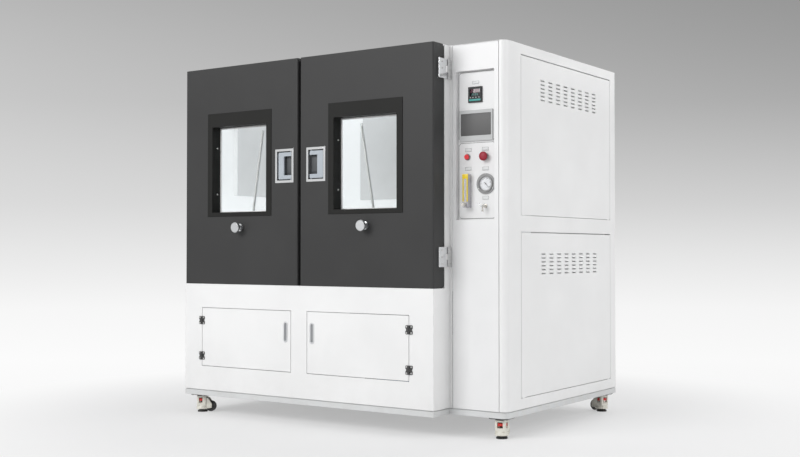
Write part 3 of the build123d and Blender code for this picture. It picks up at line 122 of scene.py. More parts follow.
@dataclass
class Wiring:
    """Places and joins shader nodes in one tree."""

    tree: bpy.types.NodeTree

    def node(self, kind: str, **settings: object) -> bpy.types.Node:
        """Adds a node and sets its properties.

        Args:
            kind: the node's type.
            settings: its properties by name.

        Returns:
            The node.
        """
        made = self.tree.nodes.new(kind)
        for key, value in settings.items():
            setattr(made, key, value)
        return made

    def feed(self, target: bpy.types.NodeSocket, source: object) -> None:
        """Sets a socket to a value or joins it to another socket.

        Args:
            target: the input socket.
            source: a value or an output socket.
        """
        if isinstance(source, bpy.types.NodeSocket):
            self.tree.links.new(source, target)
        else:
            target.default_value = source

    def math(self, operation: str, *values: object) -> bpy.types.NodeSocket:
        """Adds a Math node.

        Args:
            operation: the node's operation.
            values: its inputs, each a number or a socket.

        Returns:
            Its result.
        """
        made = self.node("ShaderNodeMath", operation=operation)
        for index, value in enumerate(values):
            self.feed(made.inputs[index], value)
        return made.outputs[0]

    def ramp(self, value: object, low: float, high: float, out: Pair = (0.0, 1.0)) -> bpy.types.NodeSocket:
        """Maps a span of values smoothly onto another.

        Args:
            value: what is mapped.
            low: where the span starts.
            high: where it ends.
            out: what its two ends become.

        Returns:
            The mapped value.
        """
        made = self.node("ShaderNodeMapRange", interpolation_type="SMOOTHSTEP")
        for index, item in enumerate((value, low, high, out[0], out[1])):
            self.feed(made.inputs[index], item)
        return made.outputs[0]

    def ramp_line(self, value: object, low: float, high: float) -> bpy.types.NodeSocket:
        """Maps a span of values evenly onto nought to one.

        Args:
            value: what is mapped.
            low: where the span starts.
            high: where it ends.

        Returns:
            The mapped value.
        """
        made = self.node("ShaderNodeMapRange", interpolation_type="LINEAR")
        for index, item in enumerate((value, low, high, 0.0, 1.0)):
            self.feed(made.inputs[index], item)
        return made.outputs[0]

    def mix(
        self, factor: object, first: object, second: object, blend: str = "MIX"
    ) -> bpy.types.NodeSocket:
        """Mixes two colours.

        Args:
            factor: the second colour's share.
            first: the colour at nought.
            second: the colour at one.
            blend: how the second is laid over the first.

        Returns:
            The mixed colour.
        """
        made = self.node("ShaderNodeMix", data_type="RGBA", blend_type=blend)
        for index, value in ((0, factor), (6, first), (7, second)):
            self.feed(made.inputs[index], value)
        return made.outputs[2]

    def dimmed(self, colour: object, shade: Optional[Shade], value: float) -> bpy.types.NodeSocket:
        """Darkens a colour with painted shade where a shade marks the piece.

        Args:
            colour: the plain colour.
            shade: what marks the darker part, or None.
            value: how much of the colour is left there.

        Returns:
            The colour.
        """
        if shade is None:
            return colour
        mask = shade(self, self.axes(self.place()))
        return self.mix(1.0, colour, self.mix(mask, rgba(WHITE), rgba(WHITE, value)), "MULTIPLY")

    def bevel(self, radius: object) -> bpy.types.NodeSocket:
        """The normal of edges rounded to a radius.

        Args:
            radius: the radius in metres.

        Returns:
            The normal.
        """
        made = self.node("ShaderNodeBevel", samples=BEVEL_SAMPLES)
        self.feed(made.inputs["Radius"], radius)
        return made.outputs[0]

    def relief(
        self, shader: bpy.types.Node, edge: float, height: object, strength: float, depth: float
    ) -> None:
        """Gives a shader soft edges and a fine relief.

        Args:
            shader: the Principled BSDF.
            edge: the edges' radius.
            height: the relief's pattern.
            strength: the relief's strength.
            depth: the relief's depth.
        """
        bump = self.node("ShaderNodeBump")
        wanted = {"Strength": strength, "Distance": depth, "Height": height, "Normal": self.bevel(edge)}
        for key, value in wanted.items():
            self.feed(bump.inputs[key], value)
        self.feed(shader.inputs["Normal"], bump.outputs[0])

    def inside(self, value: object, low: float, high: float) -> bpy.types.NodeSocket:
        """One where a value lies between two limits, else nought."""
        above = self.math("GREATER_THAN", value, low)
        return self.math("MULTIPLY", above, self.math("LESS_THAN", value, high))

    def nearest_end(self, value: object, low: float, high: float) -> bpy.types.NodeSocket:
        """How far a value is inside the nearer of two limits."""
        above = self.math("SUBTRACT", value, low)
        return self.math("MINIMUM", above, self.math("SUBTRACT", high, value))

    def noise(self, vector: object, scale: object, detail: float = 3.0) -> bpy.types.NodeSocket:
        """Adds noise.

        Args:
            vector: where it is read.
            scale: how fine it is.
            detail: how many finer layers it has.

        Returns:
            Its value.
        """
        made = self.node("ShaderNodeTexNoise")
        self.feed(made.inputs["Vector"], vector)
        self.feed(made.inputs["Scale"], scale)
        self.feed(made.inputs["Detail"], detail)
        return made.outputs[0]

    def uneven(self, scale: float, out: Pair) -> bpy.types.NodeSocket:
        """A value that wanders between two others over the piece."""
        return self.ramp(self.noise(self.place(), scale), 0.2, 0.8, out)

    def place(self) -> bpy.types.NodeSocket:
        """Returns the piece's own coordinates."""
        return self.node("ShaderNodeTexCoord").outputs["Object"]

    def axes(self, vector: object) -> bpy.types.NodeOutputs:
        """Splits a vector and returns its three values.

        Args:
            vector: the vector.

        Returns:
            Its three values, by axis.
        """
        made = self.node("ShaderNodeSeparateXYZ")
        self.feed(made.inputs[0], vector)
        return made.outputs

    def group(self, source: bpy.types.NodeTree, **values: object) -> bpy.types.Node:
        """Places a node group and sets its inputs, written with spaces as underscores.

        Args:
            source: the group.
            values: its inputs by name.

        Returns:
            The group's node.
        """
        made = self.node("ShaderNodeGroup")
        made.node_tree = source
        for key, value in values.items():
            self.feed(made.inputs[key.replace("_", " ")], value)
        return made


class SharedEffects:
    """The node groups that several finishes use."""

    _made: dict[str, bpy.types.NodeTree] = {}

    @classmethod
    def _new(
        cls, name: str, inputs: dict[str, float], outputs: Sequence[str]
    ) -> tuple[Wiring, bpy.types.Node, bpy.types.Node]:
        """Starts a group.

        Args:
            name: the group's name.
            inputs: each float input's name and default.
            outputs: names of its float outputs.

        Returns:
            Its wiring, input node and output node.
        """
        tree = bpy.data.node_groups.new(name, "ShaderNodeTree")
        for key, value in inputs.items():
            socket(tree, key, "INPUT", value)
        for key in outputs:
            socket(tree, key, "OUTPUT")
        wiring = Wiring(tree)
        cls._made[name] = tree
        return wiring, wiring.node("NodeGroupInput"), wiring.node("NodeGroupOutput")

    @classmethod
    def edge_wear(cls) -> bpy.types.NodeTree:
        """A mask of rubbed edges: where a bevelled normal turns from the true one, broken up by noise."""
        if "edge wear" not in cls._made:
            wiring, inner, outer = cls._new("edge wear", {"Width": 0.002, "Breakup": 40.0}, ["Mask"])
            plain = wiring.node("ShaderNodeNewGeometry")
            dot = wiring.node("ShaderNodeVectorMath", operation="DOT_PRODUCT")
            wiring.feed(dot.inputs[0], wiring.bevel(inner.outputs["Width"]))
            wiring.feed(dot.inputs[1], plain.outputs["Normal"])
            turned = wiring.ramp(dot.outputs["Value"], 0.995, 0.86)
            broken = wiring.ramp(wiring.noise(wiring.place(), inner.outputs["Breakup"], 4.0), 0.42, 0.62)
            wiring.feed(outer.inputs["Mask"], wiring.math("MULTIPLY", turned, broken))
        return cls._made["edge wear"]

    @classmethod
    def grain(cls) -> bpy.types.NodeTree:
        """Fine noise on the piece's own coordinates, stretched by its inputs."""
        if "grain" not in cls._made:
            keys = ("Stretch X", "Stretch Y", "Stretch Z")
            inputs = {"Scale": 900.0, **dict.fromkeys(keys, 1.0)}
            wiring, inner, outer = cls._new("grain", inputs, ["Fine", "Broad"])
            stretch = wiring.node("ShaderNodeCombineXYZ")
            for index, key in enumerate(keys):
                wiring.feed(stretch.inputs[index], inner.outputs[key])
            scaled = wiring.node("ShaderNodeVectorMath", operation="MULTIPLY")
            wiring.feed(scaled.inputs[0], wiring.place())
            wiring.feed(scaled.inputs[1], stretch.outputs[0])
            wiring.feed(outer.inputs["Fine"], wiring.noise(scaled.outputs[0], inner.outputs["Scale"], 2.0))
            wiring.feed(outer.inputs["Broad"], wiring.noise(wiring.place(), 3.0, 3.0))
        return cls._made["grain"]

    @classmethod
    def dust(cls) -> bpy.types.NodeTree:
        """A mask of settled dust: near the floor and on faces that look up."""
        if "dust" not in cls._made:
            wiring, inner, outer = cls._new("dust", {"Height": 0.4, "Amount": 0.3}, ["Mask"])
            height = wiring.axes(wiring.place())["Z"]
            low = wiring.ramp(height, 0.0, inner.outputs["Height"], (1.0, 0.0))
            facing = wiring.node("ShaderNodeNewGeometry")
            up = wiring.ramp(wiring.axes(facing.outputs["Normal"])["Z"], 0.6, 1.0, (0.0, 0.6))
            patches = wiring.ramp(wiring.noise(wiring.place(), 14.0, 5.0), 0.35, 0.75)
            both = wiring.math("MAXIMUM", low, up)
            settled = wiring.math("MULTIPLY", both, patches)
            wiring.feed(outer.inputs["Mask"], wiring.math("MULTIPLY", settled, inner.outputs["Amount"]))
        return cls._made["dust"]


def new_material(name: str) -> tuple[bpy.types.Material, Wiring, bpy.types.Node]:
    """Starts a material.

    Args:
        name: the material's name.

    Returns:
        The material, its wiring and its Principled BSDF.
    """
    material = bpy.data.materials.new(name)
    material.use_nodes = True
    wiring = Wiring(material.node_tree)
    return material, wiring, material.node_tree.nodes["Principled BSDF"]


def rgba(colour: Colour, value: float = 1.0) -> tuple[float, float, float, float]:
    """A colour with its alpha, brightened by a factor."""
    return (colour[0] * value, colour[1] * value, colour[2] * value, 1.0)


class Finish(Protocol):
    """What every finish has: a name and a way to make its material."""

    name: str

    def build(self) -> bpy.types.Material:
        """Makes the material."""


@dataclass(frozen=True)
class PaintFinish:
    """Powder coat or enamel on sheet: orange peel, soft edges, slight mottling, dust and rubbed edges, and
    where set, painted shade.
    """

    name: str
    colour: Colour
    roughness: float = 0.42
    peel: float = 0.05
    peel_scale: float = 700.0
    mottle: float = 0.03
    edge: float = 0.0015
    dust: float = 0.12
    dust_height: float = 0.35
    wear: float = 0.0
    wear_colour: Colour = (0.55, 0.55, 0.54)
    dust_colour: Colour = (0.52, 0.50, 0.46)
    specular: float = 0.5
    shade: Optional[Shade] = None
    shade_value: float = 1.0

    def build(self) -> bpy.types.Material:
        """Makes the material."""
        material, wiring, shader = new_material(self.name)
        grain = wiring.group(SharedEffects.grain(), Scale=self.peel_scale)
        low = rgba(self.colour, 1.0 - self.mottle)
        high = rgba(self.colour, 1.0 + self.mottle * 0.5)
        colour = wiring.mix(wiring.ramp(grain.outputs["Broad"], 0.3, 0.7), low, high)
        dust = wiring.group(SharedEffects.dust(), Height=self.dust_height, Amount=self.dust)
        colour = wiring.mix(dust.outputs["Mask"], colour, rgba(self.dust_colour))
        if self.wear > 0:
            worn = wiring.group(SharedEffects.edge_wear(), Width=self.edge * 2)
            amount = wiring.math("MULTIPLY", worn.outputs["Mask"], self.wear)
            colour = wiring.mix(amount, colour, rgba(self.wear_colour))
        colour = wiring.dimmed(colour, self.shade, self.shade_value)
        wiring.feed(shader.inputs["Base Color"], colour)
        shader.inputs["Specular IOR Level"].default_value = self.specular
        rough_span = (self.roughness - 0.04, self.roughness + 0.05)
        rough = wiring.ramp(grain.outputs["Broad"], 0.25, 0.75, rough_span)
        rougher = wiring.math("MULTIPLY", dust.outputs["Mask"], 0.4)
        wiring.feed(shader.inputs["Roughness"], wiring.math("ADD", rough, rougher))
        wiring.relief(shader, self.edge, grain.outputs["Fine"], self.peel, 0.0004)
        return material


@dataclass(frozen=True)
class MetalFinish:
    """Bare metal: brushed, cast or plated, with broad tone changes and bright worn edges, and where set a
    glow of painted light and painted shade.
    """

    name: str
    colour: Colour
    roughness: float = 0.3
    grain: Grain = Grain.NONE
    grain_depth: float = 0.08
    grain_scale: float = 900.0
    edge: float = 0.0006
    wear: float = 0.25
    # glow: painted light, an emission in the metal's own colour that makes it look lit
    glow: float = 0.0
    shade: Optional[Shade] = None
    shade_value: float = 1.0

    def build(self) -> bpy.types.Material:
        """Makes the material."""
        material, wiring, shader = new_material(self.name)
        stretch = self.grain.value
        grain = wiring.group(
            SharedEffects.grain(),
            Scale=self.grain_scale,
            Stretch_X=stretch[0],
            Stretch_Y=stretch[1],
            Stretch_Z=stretch[2],
        )
        colour = wiring.mix(grain.outputs["Fine"], rgba(self.colour, 0.93), rgba(self.colour, 1.04))
        worn = wiring.group(SharedEffects.edge_wear(), Width=self.edge * 3)
        amount = wiring.math("MULTIPLY", worn.outputs["Mask"], self.wear)
        colour = wiring.mix(amount, colour, rgba(self.colour, 1.25))
        colour = wiring.dimmed(colour, self.shade, self.shade_value)
        wiring.feed(shader.inputs["Base Color"], colour)
        shader.inputs["Metallic"].default_value = 1.0
        rough_span = (max(self.roughness - 0.06, 0.03), self.roughness + 0.06)
        rough = wiring.ramp(grain.outputs["Broad"], 0.25, 0.75, rough_span)
        wiring.feed(shader.inputs["Roughness"], rough)
        # Painted light: the metal emits its own colour, dimmed where painted shade falls, so it looks lit
        if self.glow > 0:
            wiring.feed(shader.inputs["Emission Color"], colour)
            shader.inputs["Emission Strength"].default_value = self.glow
        wiring.relief(shader, self.edge, grain.outputs["Fine"], self.grain_depth, 0.0002)
        return material


@dataclass(frozen=True)
class PlasticFinish:
    """Moulded plastic or rubber with a spark-eroded texture, paler scuffed edges and dust."""

    name: str
    colour: Colour
    roughness: float = 0.45
    texture: float = 0.12
    texture_scale: float = 1400.0
    edge: float = 0.0005
    wear: float = 0.12
    dust: float = 0.1
    dust_colour: Colour = (0.45, 0.43, 0.40)
    coat: float = 0.0

    def build(self) -> bpy.types.Material:
        """Makes the material."""
        material, wiring, shader = new_material(self.name)
        grain = wiring.group(SharedEffects.grain(), Scale=self.texture_scale)
        colour = wiring.mix(grain.outputs["Broad"], rgba(self.colour, 0.88), rgba(self.colour, 1.1))
        worn = wiring.group(SharedEffects.edge_wear(), Width=self.edge * 3, Breakup=120.0)
        amount = wiring.math("MULTIPLY", worn.outputs["Mask"], self.wear)
        pale = tuple(min(1.0, value * 1.4 + 0.06) for value in self.colour)
        colour = wiring.mix(amount, colour, rgba(pale))
        dust = wiring.group(SharedEffects.dust(), Height=0.2, Amount=self.dust)
        colour = wiring.mix(dust.outputs["Mask"], colour, rgba(self.dust_colour))
        wiring.feed(shader.inputs["Base Color"], colour)
        rough_span = (self.roughness - 0.05, self.roughness + 0.07)
        wiring.feed(shader.inputs["Roughness"], wiring.ramp(grain.outputs["Fine"], 0.2, 0.8, rough_span))
        shader.inputs["Coat Weight"].default_value = self.coat
        wiring.relief(shader, self.edge, grain.outputs["Fine"], self.texture, 0.0002)
        return material


@dataclass(frozen=True)
class GlassFinish:
    """Clear glass or acrylic with faint smears."""

    name: str
    colour: Colour = (0.97, 0.99, 0.98)
    roughness: float = 0.02
    smears: float = 0.05
    refraction: float = 1.1

    def build(self) -> bpy.types.Material:
        """Makes the material."""
        material, wiring, shader = new_material(self.name)
        shader.inputs["Transmission Weight"].default_value = 1.0
        shader.inputs["IOR"].default_value = self.refraction
        smear = wiring.ramp(wiring.noise(wiring.place(), 9.0, 6.0), 0.5, 0.8)
        colour = wiring.mix(smear, rgba(self.colour), rgba(self.colour, 0.96))
        rough = wiring.math("MULTIPLY_ADD", smear, self.smears, self.roughness)
        wiring.feed(shader.inputs["Base Color"], colour)
        wiring.feed(shader.inputs["Roughness"], rough)
        return material


@dataclass(frozen=True)
class ClearFinish:
    """Clear moulded plastic that lets most light straight through, with faint smears."""

    name: str
    colour: Colour
    alpha: float = 0.3
    roughness: float = 0.12

    def build(self) -> bpy.types.Material:
        """Makes the material."""
        material, wiring, shader = new_material(self.name)
        smear = wiring.ramp(wiring.noise(wiring.place(), 60.0, 4.0), 0.4, 0.8)
        colour = wiring.mix(smear, rgba(self.colour), rgba(self.colour, 0.93))
        rough = wiring.math("MULTIPLY_ADD", smear, 0.1, self.roughness)
        wiring.feed(shader.inputs["Base Color"], colour)
        wiring.feed(shader.inputs["Roughness"], rough)
        shader.inputs["Alpha"].default_value = self.alpha
        return material


@dataclass(frozen=True)
class GlowFinish:
    """A lit display segment or lamp."""

    name: str
    colour: Colour
    strength: float = 2.0

    def build(self) -> bpy.types.Material:
        """Makes the material."""
        material, wiring, shader = new_material(self.name)
        flicker = wiring.noise(wiring.place(), 600.0, 2.0)
        colour = wiring.mix(flicker, rgba(self.colour, 0.9), rgba(self.colour))
        wiring.feed(shader.inputs["Base Color"], colour)
        wiring.feed(shader.inputs["Emission Color"], colour)
        shader.inputs["Emission Strength"].default_value = self.strength
        shader.inputs["Roughness"].default_value = 0.4
        return material


@dataclass(frozen=True)
class DialFinish:
    """A white gauge face with a printed ring of graduations, drawn from the piece's own coordinates."""

    name: str
    centre: Pair
    radius: float
    sweep: float = 270.0
    divisions: int = 25
    face: Colour = (0.86, 0.87, 0.89)
    ink: Colour = (0.16, 0.16, 0.17)
    ring: Pair = (0.885, 0.91)
    ticks_end: float = 0.9

    def build(self) -> bpy.types.Material:
        """Makes the material."""
        material, wiring, shader = new_material(self.name)
        middle = at(self.centre[0], 0, self.centre[1])
        place = wiring.axes(wiring.place())
        across = wiring.math("SUBTRACT", place["X"], middle.x)
        upward = wiring.math("SUBTRACT", place["Z"], middle.z)
        squares = [wiring.math("POWER", value, 2.0) for value in (across, upward)]
        distance = wiring.math("SQRT", wiring.math("ADD", *squares))
        radius = wiring.math("DIVIDE", distance, self.radius * MM)
        angle = wiring.math("DIVIDE", wiring.math("ARCTAN2", across, upward), 2 * math.pi)
        in_sweep = wiring.math("LESS_THAN", wiring.math("ABSOLUTE", angle), self.sweep / 720)

        def ticks(count: float, width: float, inner: float) -> bpy.types.NodeSocket:
            """Draws tick marks.

            Args:
                count: how many there are to the full turn.
                width: half a mark's share of the space from one to the next.
                inner: how far in they reach, as a share of the radius.

            Returns:
                Their mask.
            """
            phase = wiring.math("FRACT", wiring.math("MULTIPLY_ADD", angle, count, 0.5 + count * 10))
            off = wiring.math("ABSOLUTE", wiring.math("SUBTRACT", phase, 0.5))
            near = wiring.math("LESS_THAN", off, width)
            return wiring.math("MULTIPLY", near, wiring.inside(radius, inner, self.ticks_end))

        full_turn = self.divisions * 360 / self.sweep
        marks = wiring.math("MAXIMUM", ticks(full_turn, 0.16, 0.8), ticks(full_turn / 5, 0.06, 0.68))
        drawn = wiring.math("MAXIMUM", marks, wiring.inside(radius, *self.ring))
        printed = wiring.math("MULTIPLY", drawn, in_sweep)
        wiring.feed(shader.inputs["Base Color"], wiring.mix(printed, rgba(self.face), rgba(self.ink)))
        wiring.feed(shader.inputs["Roughness"], wiring.uneven(80.0, (0.4, 0.55)))
        return material


@dataclass(frozen=True)
class ScaleFinish:
    """A printed scale strip with black graduations across it."""

    name: str
    colour: Colour
    ink: Colour = (0.03, 0.03, 0.03)
    pitch: float = 5.0
    mark_share: float = 0.16

    def build(self) -> bpy.types.Material:
        """Makes the material."""
        material, wiring, shader = new_material(self.name)
        height = wiring.axes(wiring.place())["Z"]
        phase = wiring.math("FRACT", wiring.math("DIVIDE", height, self.pitch * MM))
        mark = wiring.math("LESS_THAN", phase, self.mark_share)
        wiring.feed(shader.inputs["Base Color"], wiring.mix(mark, rgba(self.colour), rgba(self.ink)))
        wiring.feed(shader.inputs["Roughness"], wiring.uneven(120.0, (0.35, 0.5)))
        return material


@dataclass(frozen=True)
class TwoToneFinish:
    """One metal node whose parts are plated apart, such as dark small hinges beside bright large ones."""

    name: str
    bright: Colour
    dark: Colour
    boundary: Shade
    roughness: float = 0.28
    edge: float = 0.0008

    def build(self) -> bpy.types.Material:
        """Makes the material."""
        material, wiring, shader = new_material(self.name)
        grain = wiring.group(SharedEffects.grain(), Scale=800.0)
        mask = self.boundary(wiring, wiring.axes(wiring.place()))
        bright = wiring.mix(grain.outputs["Fine"], rgba(self.bright, 0.93), rgba(self.bright, 1.04))
        dark = wiring.mix(grain.outputs["Fine"], rgba(self.dark, 0.85), rgba(self.dark, 1.15))
        wiring.feed(shader.inputs["Base Color"], wiring.mix(mask, bright, dark))
        wiring.feed(shader.inputs["Metallic"], wiring.math("SUBTRACT", 1.0, mask))
        wiring.feed(shader.inputs["Roughness"], wiring.math("MULTIPLY_ADD", mask, 0.2, self.roughness))
        wiring.feed(shader.inputs["Normal"], wiring.bevel(self.edge))
        return material


# Modelling


def deselect() -> None:
    """Leaves nothing selected."""
    for piece in bpy.context.selected_objects:
        piece.select_set(False)


def only(piece: bpy.types.Object) -> None:
    """Selects one object alone and makes it active."""
    deselect()
    piece.select_set(True)
    bpy.context.view_layer.objects.active = piece


def use_modifier(piece: bpy.types.Object, kind: str, **settings: object) -> None:
    """Adds a modifier, sets it and applies it.

    Args:
        piece: the object.
        kind: the modifier's type.
        settings: its properties by name.
    """
    only(piece)
    made = piece.modifiers.new(kind.lower(), kind)
    for key, value in settings.items():
        setattr(made, key, value)
    bpy.ops.object.modifier_apply(modifier=made.name)


def settle(piece: bpy.types.Object, name: str) -> None:
    """Moves a piece's place into its mesh, points its faces outwards and shades it by angle.

    Args:
        piece: the object.
        name: the name it gets.
    """
    only(piece)
    bpy.ops.object.transform_apply(location=True, rotation=True, scale=True)
    bpy.ops.object.mode_set(mode="EDIT")
    bpy.ops.mesh.select_all(action="SELECT")
    bpy.ops.mesh.remove_doubles(threshold=MERGE_DISTANCE)
    bpy.ops.mesh.normals_make_consistent(inside=False)
    bpy.ops.object.mode_set(mode="OBJECT")
    bpy.ops.object.shade_smooth_by_angle(angle=SMOOTH_ANGLE)
    piece.name = name


def sharp_box(x: Pair, y: Pair, z: Pair) -> bpy.types.Object:
    """A box between pairs of cabinet millimetres.

    Args:
        x: its two sides.
        y: its front and back.
        z: its bottom and top.

    Returns:
        The new object.
    """
    deselect()
    low, high = at(x[0], y[0], z[0]), at(x[1], y[1], z[1])
    bpy.ops.mesh.primitive_cube_add(size=1, location=(low + high) / 2)
    piece = bpy.context.object
    piece.scale = high - low
    bpy.ops.object.transform_apply(location=False, rotation=False, scale=True)
    return piece


def block(x: Pair, y: Pair, z: Pair, bevel: float, segments: int = 2) -> bpy.types.Object:
    """A box with bevelled edges.

    Args:
        x: its two sides, in cabinet millimetres as all of these.
        y: its front and back.
        z: its bottom and top.
        bevel: the bevel's width.
        segments: how many faces the bevel has.

    Returns:
        The new object.
    """
    piece = sharp_box(x, y, z)
    use_modifier(piece, "BEVEL", width=bevel * MM, segments=segments, limit_method="ANGLE")
    return piece


def turned(profile: Sequence[Pair], centre: Vector, facing: Facing, sides: int = 32) -> bpy.types.Object:
    """A turned piece: a disc that is extruded and resized ring by ring, then stood at its place.

    Args:
        profile: radius and height of each ring in millimetres, from the base up.
        centre: where the base's middle goes, in metres.
        facing: the way that its top looks.
        sides: points on each ring.

    Returns:
        The new object.
    """
    deselect()
    first = profile[0]
    base = (0, 0, first[1] * MM)
    bpy.ops.mesh.primitive_circle_add(
        vertices=sides, radius=first[0] * MM, fill_type="NGON", location=base
    )
    piece = bpy.context.object
    bpy.ops.object.mode_set(mode="EDIT")
    bpy.ops.mesh.select_all(action="SELECT")
    last = first
    for radius, height in profile[1:]:
        rise = (height - last[1]) * MM
        bpy.ops.mesh.extrude_region_move(TRANSFORM_OT_translate={"value": (0, 0, rise)})
        factor = radius / last[0]
        bpy.ops.transform.resize(value=(factor, factor, 1.0), center_override=(0, 0, height * MM))
        last = (radius, height)
    bpy.ops.object.mode_set(mode="OBJECT")
    bpy.ops.object.transform_apply(location=True)
    piece.rotation_euler = Euler(facing.value)
    piece.location = centre
    bpy.ops.object.transform_apply(location=True, rotation=True)
    return piece


def pick_faces(piece: bpy.types.Object, wanted: Callable[[bpy.types.MeshPolygon], bool]) -> None:
    """Selects only the wanted faces of a piece, ready for edit mode.

    Args:
        piece: the object.
        wanted: tells of a face whether it's wanted.
    """
    only(piece)
    bpy.ops.object.mode_set(mode="EDIT")
    bpy.ops.mesh.select_mode(type="FACE")
    bpy.ops.mesh.select_all(action="DESELECT")
    bpy.ops.object.mode_set(mode="OBJECT")
    for face in piece.data.polygons:
        face.select = wanted(face)


def ring(x: Pair, z: Pair, y: Pair, width: float, bevel: float) -> bpy.types.Object:
    """A flat rectangular frame in the front plane: a box whose two faces are inset and joined through it.

    Args:
        x: its two sides, in cabinet millimetres as all of these.
        z: its bottom and top.
        y: its front and back.
        width: the width of its bars.
        bevel: the bevel's width.

    Returns:
        The new object.
    """
    piece = sharp_box(x, y, z)
    pick_faces(piece, lambda face: abs(face.normal.y) > 0.9)
    bpy.ops.object.mode_set(mode="EDIT")
    bpy.ops.mesh.inset(thickness=width * MM, depth=0, use_individual=True)
    bpy.ops.mesh.bridge_edge_loops()
    bpy.ops.object.mode_set(mode="OBJECT")
    use_modifier(piece, "BEVEL", width=bevel * MM, segments=2, limit_method="ANGLE")
    return piece


def joined(pieces: Iterable[bpy.types.Object]) -> bpy.types.Object:
    """Joins objects into the first one.

    Args:
        pieces: the objects.

    Returns:
        The first object.
    """
    found = list(pieces)
    deselect()
    for piece in found:
        piece.select_set(True)
    bpy.context.view_layer.objects.active = found[0]
    if len(found) > 1:
        bpy.ops.object.join()
    return found[0]


def copies(model: bpy.types.Object, places: Sequence[Vector]) -> bpy.types.Object:
    """Copies a model that stands at the origin to each place, and joins the copies.

    Args:
        model: the object, which is removed afterwards.
        places: where the copies go, in metres.

    Returns:
        The joined copies.
    """
    made = []
    for place in places:
        twin = model.copy()
        twin.data = model.data.copy()
        twin.location = place
        bpy.context.scene.collection.objects.link(twin)
        made.append(twin)
    only(made[0])
    bpy.data.objects.remove(model, do_unlink=True)
    return joined(made)


SCREW_PROFILE: tuple[Pair, ...] = (
    (1.0, 0.0),
    (1.0, 0.35),
    (0.86, 0.56),
    (0.62, 0.66),
    (0.5, 0.66),
    (0.42, 0.3),
)


def screw_head(radius: float, facing: Facing) -> bpy.types.Object:
    """A pan-head screw with a socket, at the origin."""
    profile = [(radius * wide, radius * tall) for wide, tall in SCREW_PROFILE]
    return turned(profile, Vector((0, 0, 0)), facing, sides=12)


def dress(
    piece: bpy.types.Object, name: str, material: bpy.types.Material, body: str
) -> bpy.types.Object:
    """Settles a piece, gives it its material and hangs it on its body.

    Args:
        piece: the piece.
        name: the name it gets.
        material: its material.
        body: the body that it moves with.

    Returns:
        The piece.
    """
    settle(piece, name)
    piece.data.materials.clear()
    piece.data.materials.append(material)
    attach(piece, body)
    LOG.info("%s built on %s", name, body)
    return piece


# Finishes of this object


def baffle_painted_shade(wiring: Wiring, place: bpy.types.NodeOutputs) -> bpy.types.NodeSocket:
    """Marks the perforated baffles inside the chamber, which are darkened with painted shade because they
    stand in softer light.

    Args:
        wiring: the material's wiring.
        place: the piece's own coordinates, by axis.

    Returns:
        The mask.
    """
    side_low, side_high = at(128, 262, 1145), at(1428, 640, 1145)
    rear_low, rear_high = at(338, 1091, 1145), at(1218, 1091, 1145)
    middle = wiring.inside(place["X"], side_low.x, side_high.x)
    depth = wiring.inside(place["Y"], side_low.y, side_high.y)
    beside = wiring.math("MULTIPLY", wiring.math("SUBTRACT", 1.0, middle), depth)
    width = wiring.inside(place["X"], rear_low.x, rear_high.x)
    behind = wiring.math("MULTIPLY", width, wiring.math("GREATER_THAN", place["Y"], rear_low.y))
    above = wiring.math("GREATER_THAN", place["Z"], side_low.z)
    return wiring.math("MULTIPLY", wiring.math("MAXIMUM", beside, behind), above)


# Corners of the instrument plates, and the corner cut and inset of the line of painted shade just inside
# their edges.
PLATE_CORNERS: tuple[tuple[Point, Point], ...] = (
    ((1592, 158, 990.5), (1790, 158, 1343)),
    ((1592, 158, 1347), (1790, 158, 1668)),
)
LINE_CORNER_CUT = 8.0
LINE_INSET: Pair = (2.0, 4.6)


def plate_edge_painted_shade(wiring: Wiring, place: bpy.types.NodeOutputs) -> bpy.types.NodeSocket:
    """Marks a dark line just inside each instrument plate's edge, cut across at the corners: painted shade
    standing in for the shading along the plate edges.

    Args:
        wiring: the material's wiring.
        place: the piece's own coordinates, by axis.

    Returns:
        The mask.
    """
    masks = []
    for low, high in PLATE_CORNERS:
        first, last = at(*low), at(*high)
        across = wiring.nearest_end(place["X"], first.x, last.x)
        upward = wiring.nearest_end(place["Z"], first.z, last.z)
        both = wiring.math("ADD", across, upward)
        corner = wiring.math("MULTIPLY_ADD", both, 0.7, -LINE_CORNER_CUT * MM)
        nearest = wiring.math("MINIMUM", wiring.math("MINIMUM", across, upward), corner)
        masks.append(wiring.inside(nearest, LINE_INSET[0] * MM, LINE_INSET[1] * MM))
    return wiring.math("MAXIMUM", masks[0], masks[1])


BODY_WHITE = PaintFinish("body powder coat", (0.84, 0.84, 0.835), roughness=0.36, edge=0.0022, dust=0.1)
PANEL_WHITE = PaintFinish("panel powder coat", (0.82, 0.82, 0.82), roughness=0.38, edge=0.0015, dust=0.06)
PLATE_WHITE = PaintFinish(
    "instrument plate coat",
    (0.80, 0.80, 0.80),
    roughness=0.42,
    edge=0.001,
    dust=0.04,
    # painted shade: a dark line just inside each plate's edge, standing in for the shading along it
    shade=plate_edge_painted_shade,
    shade_value=0.3,
)
PLINTH_GREY = PaintFinish("plinth coat", (0.66, 0.67, 0.67), roughness=0.4, edge=0.002, dust=0.25)
DOOR_GREY = PaintFinish(
    "door enamel",
    (0.043, 0.043, 0.043),
    roughness=0.46,
    peel=0.04,
    edge=0.0025,
    dust=0.02,
    mottle=0.06,
    specular=0.22,
)
FRAME_BLACK = PaintFinish(
    "window frame coat", (0.014, 0.014, 0.013), roughness=0.6, edge=0.0015, dust=0.02, specular=0.2
)
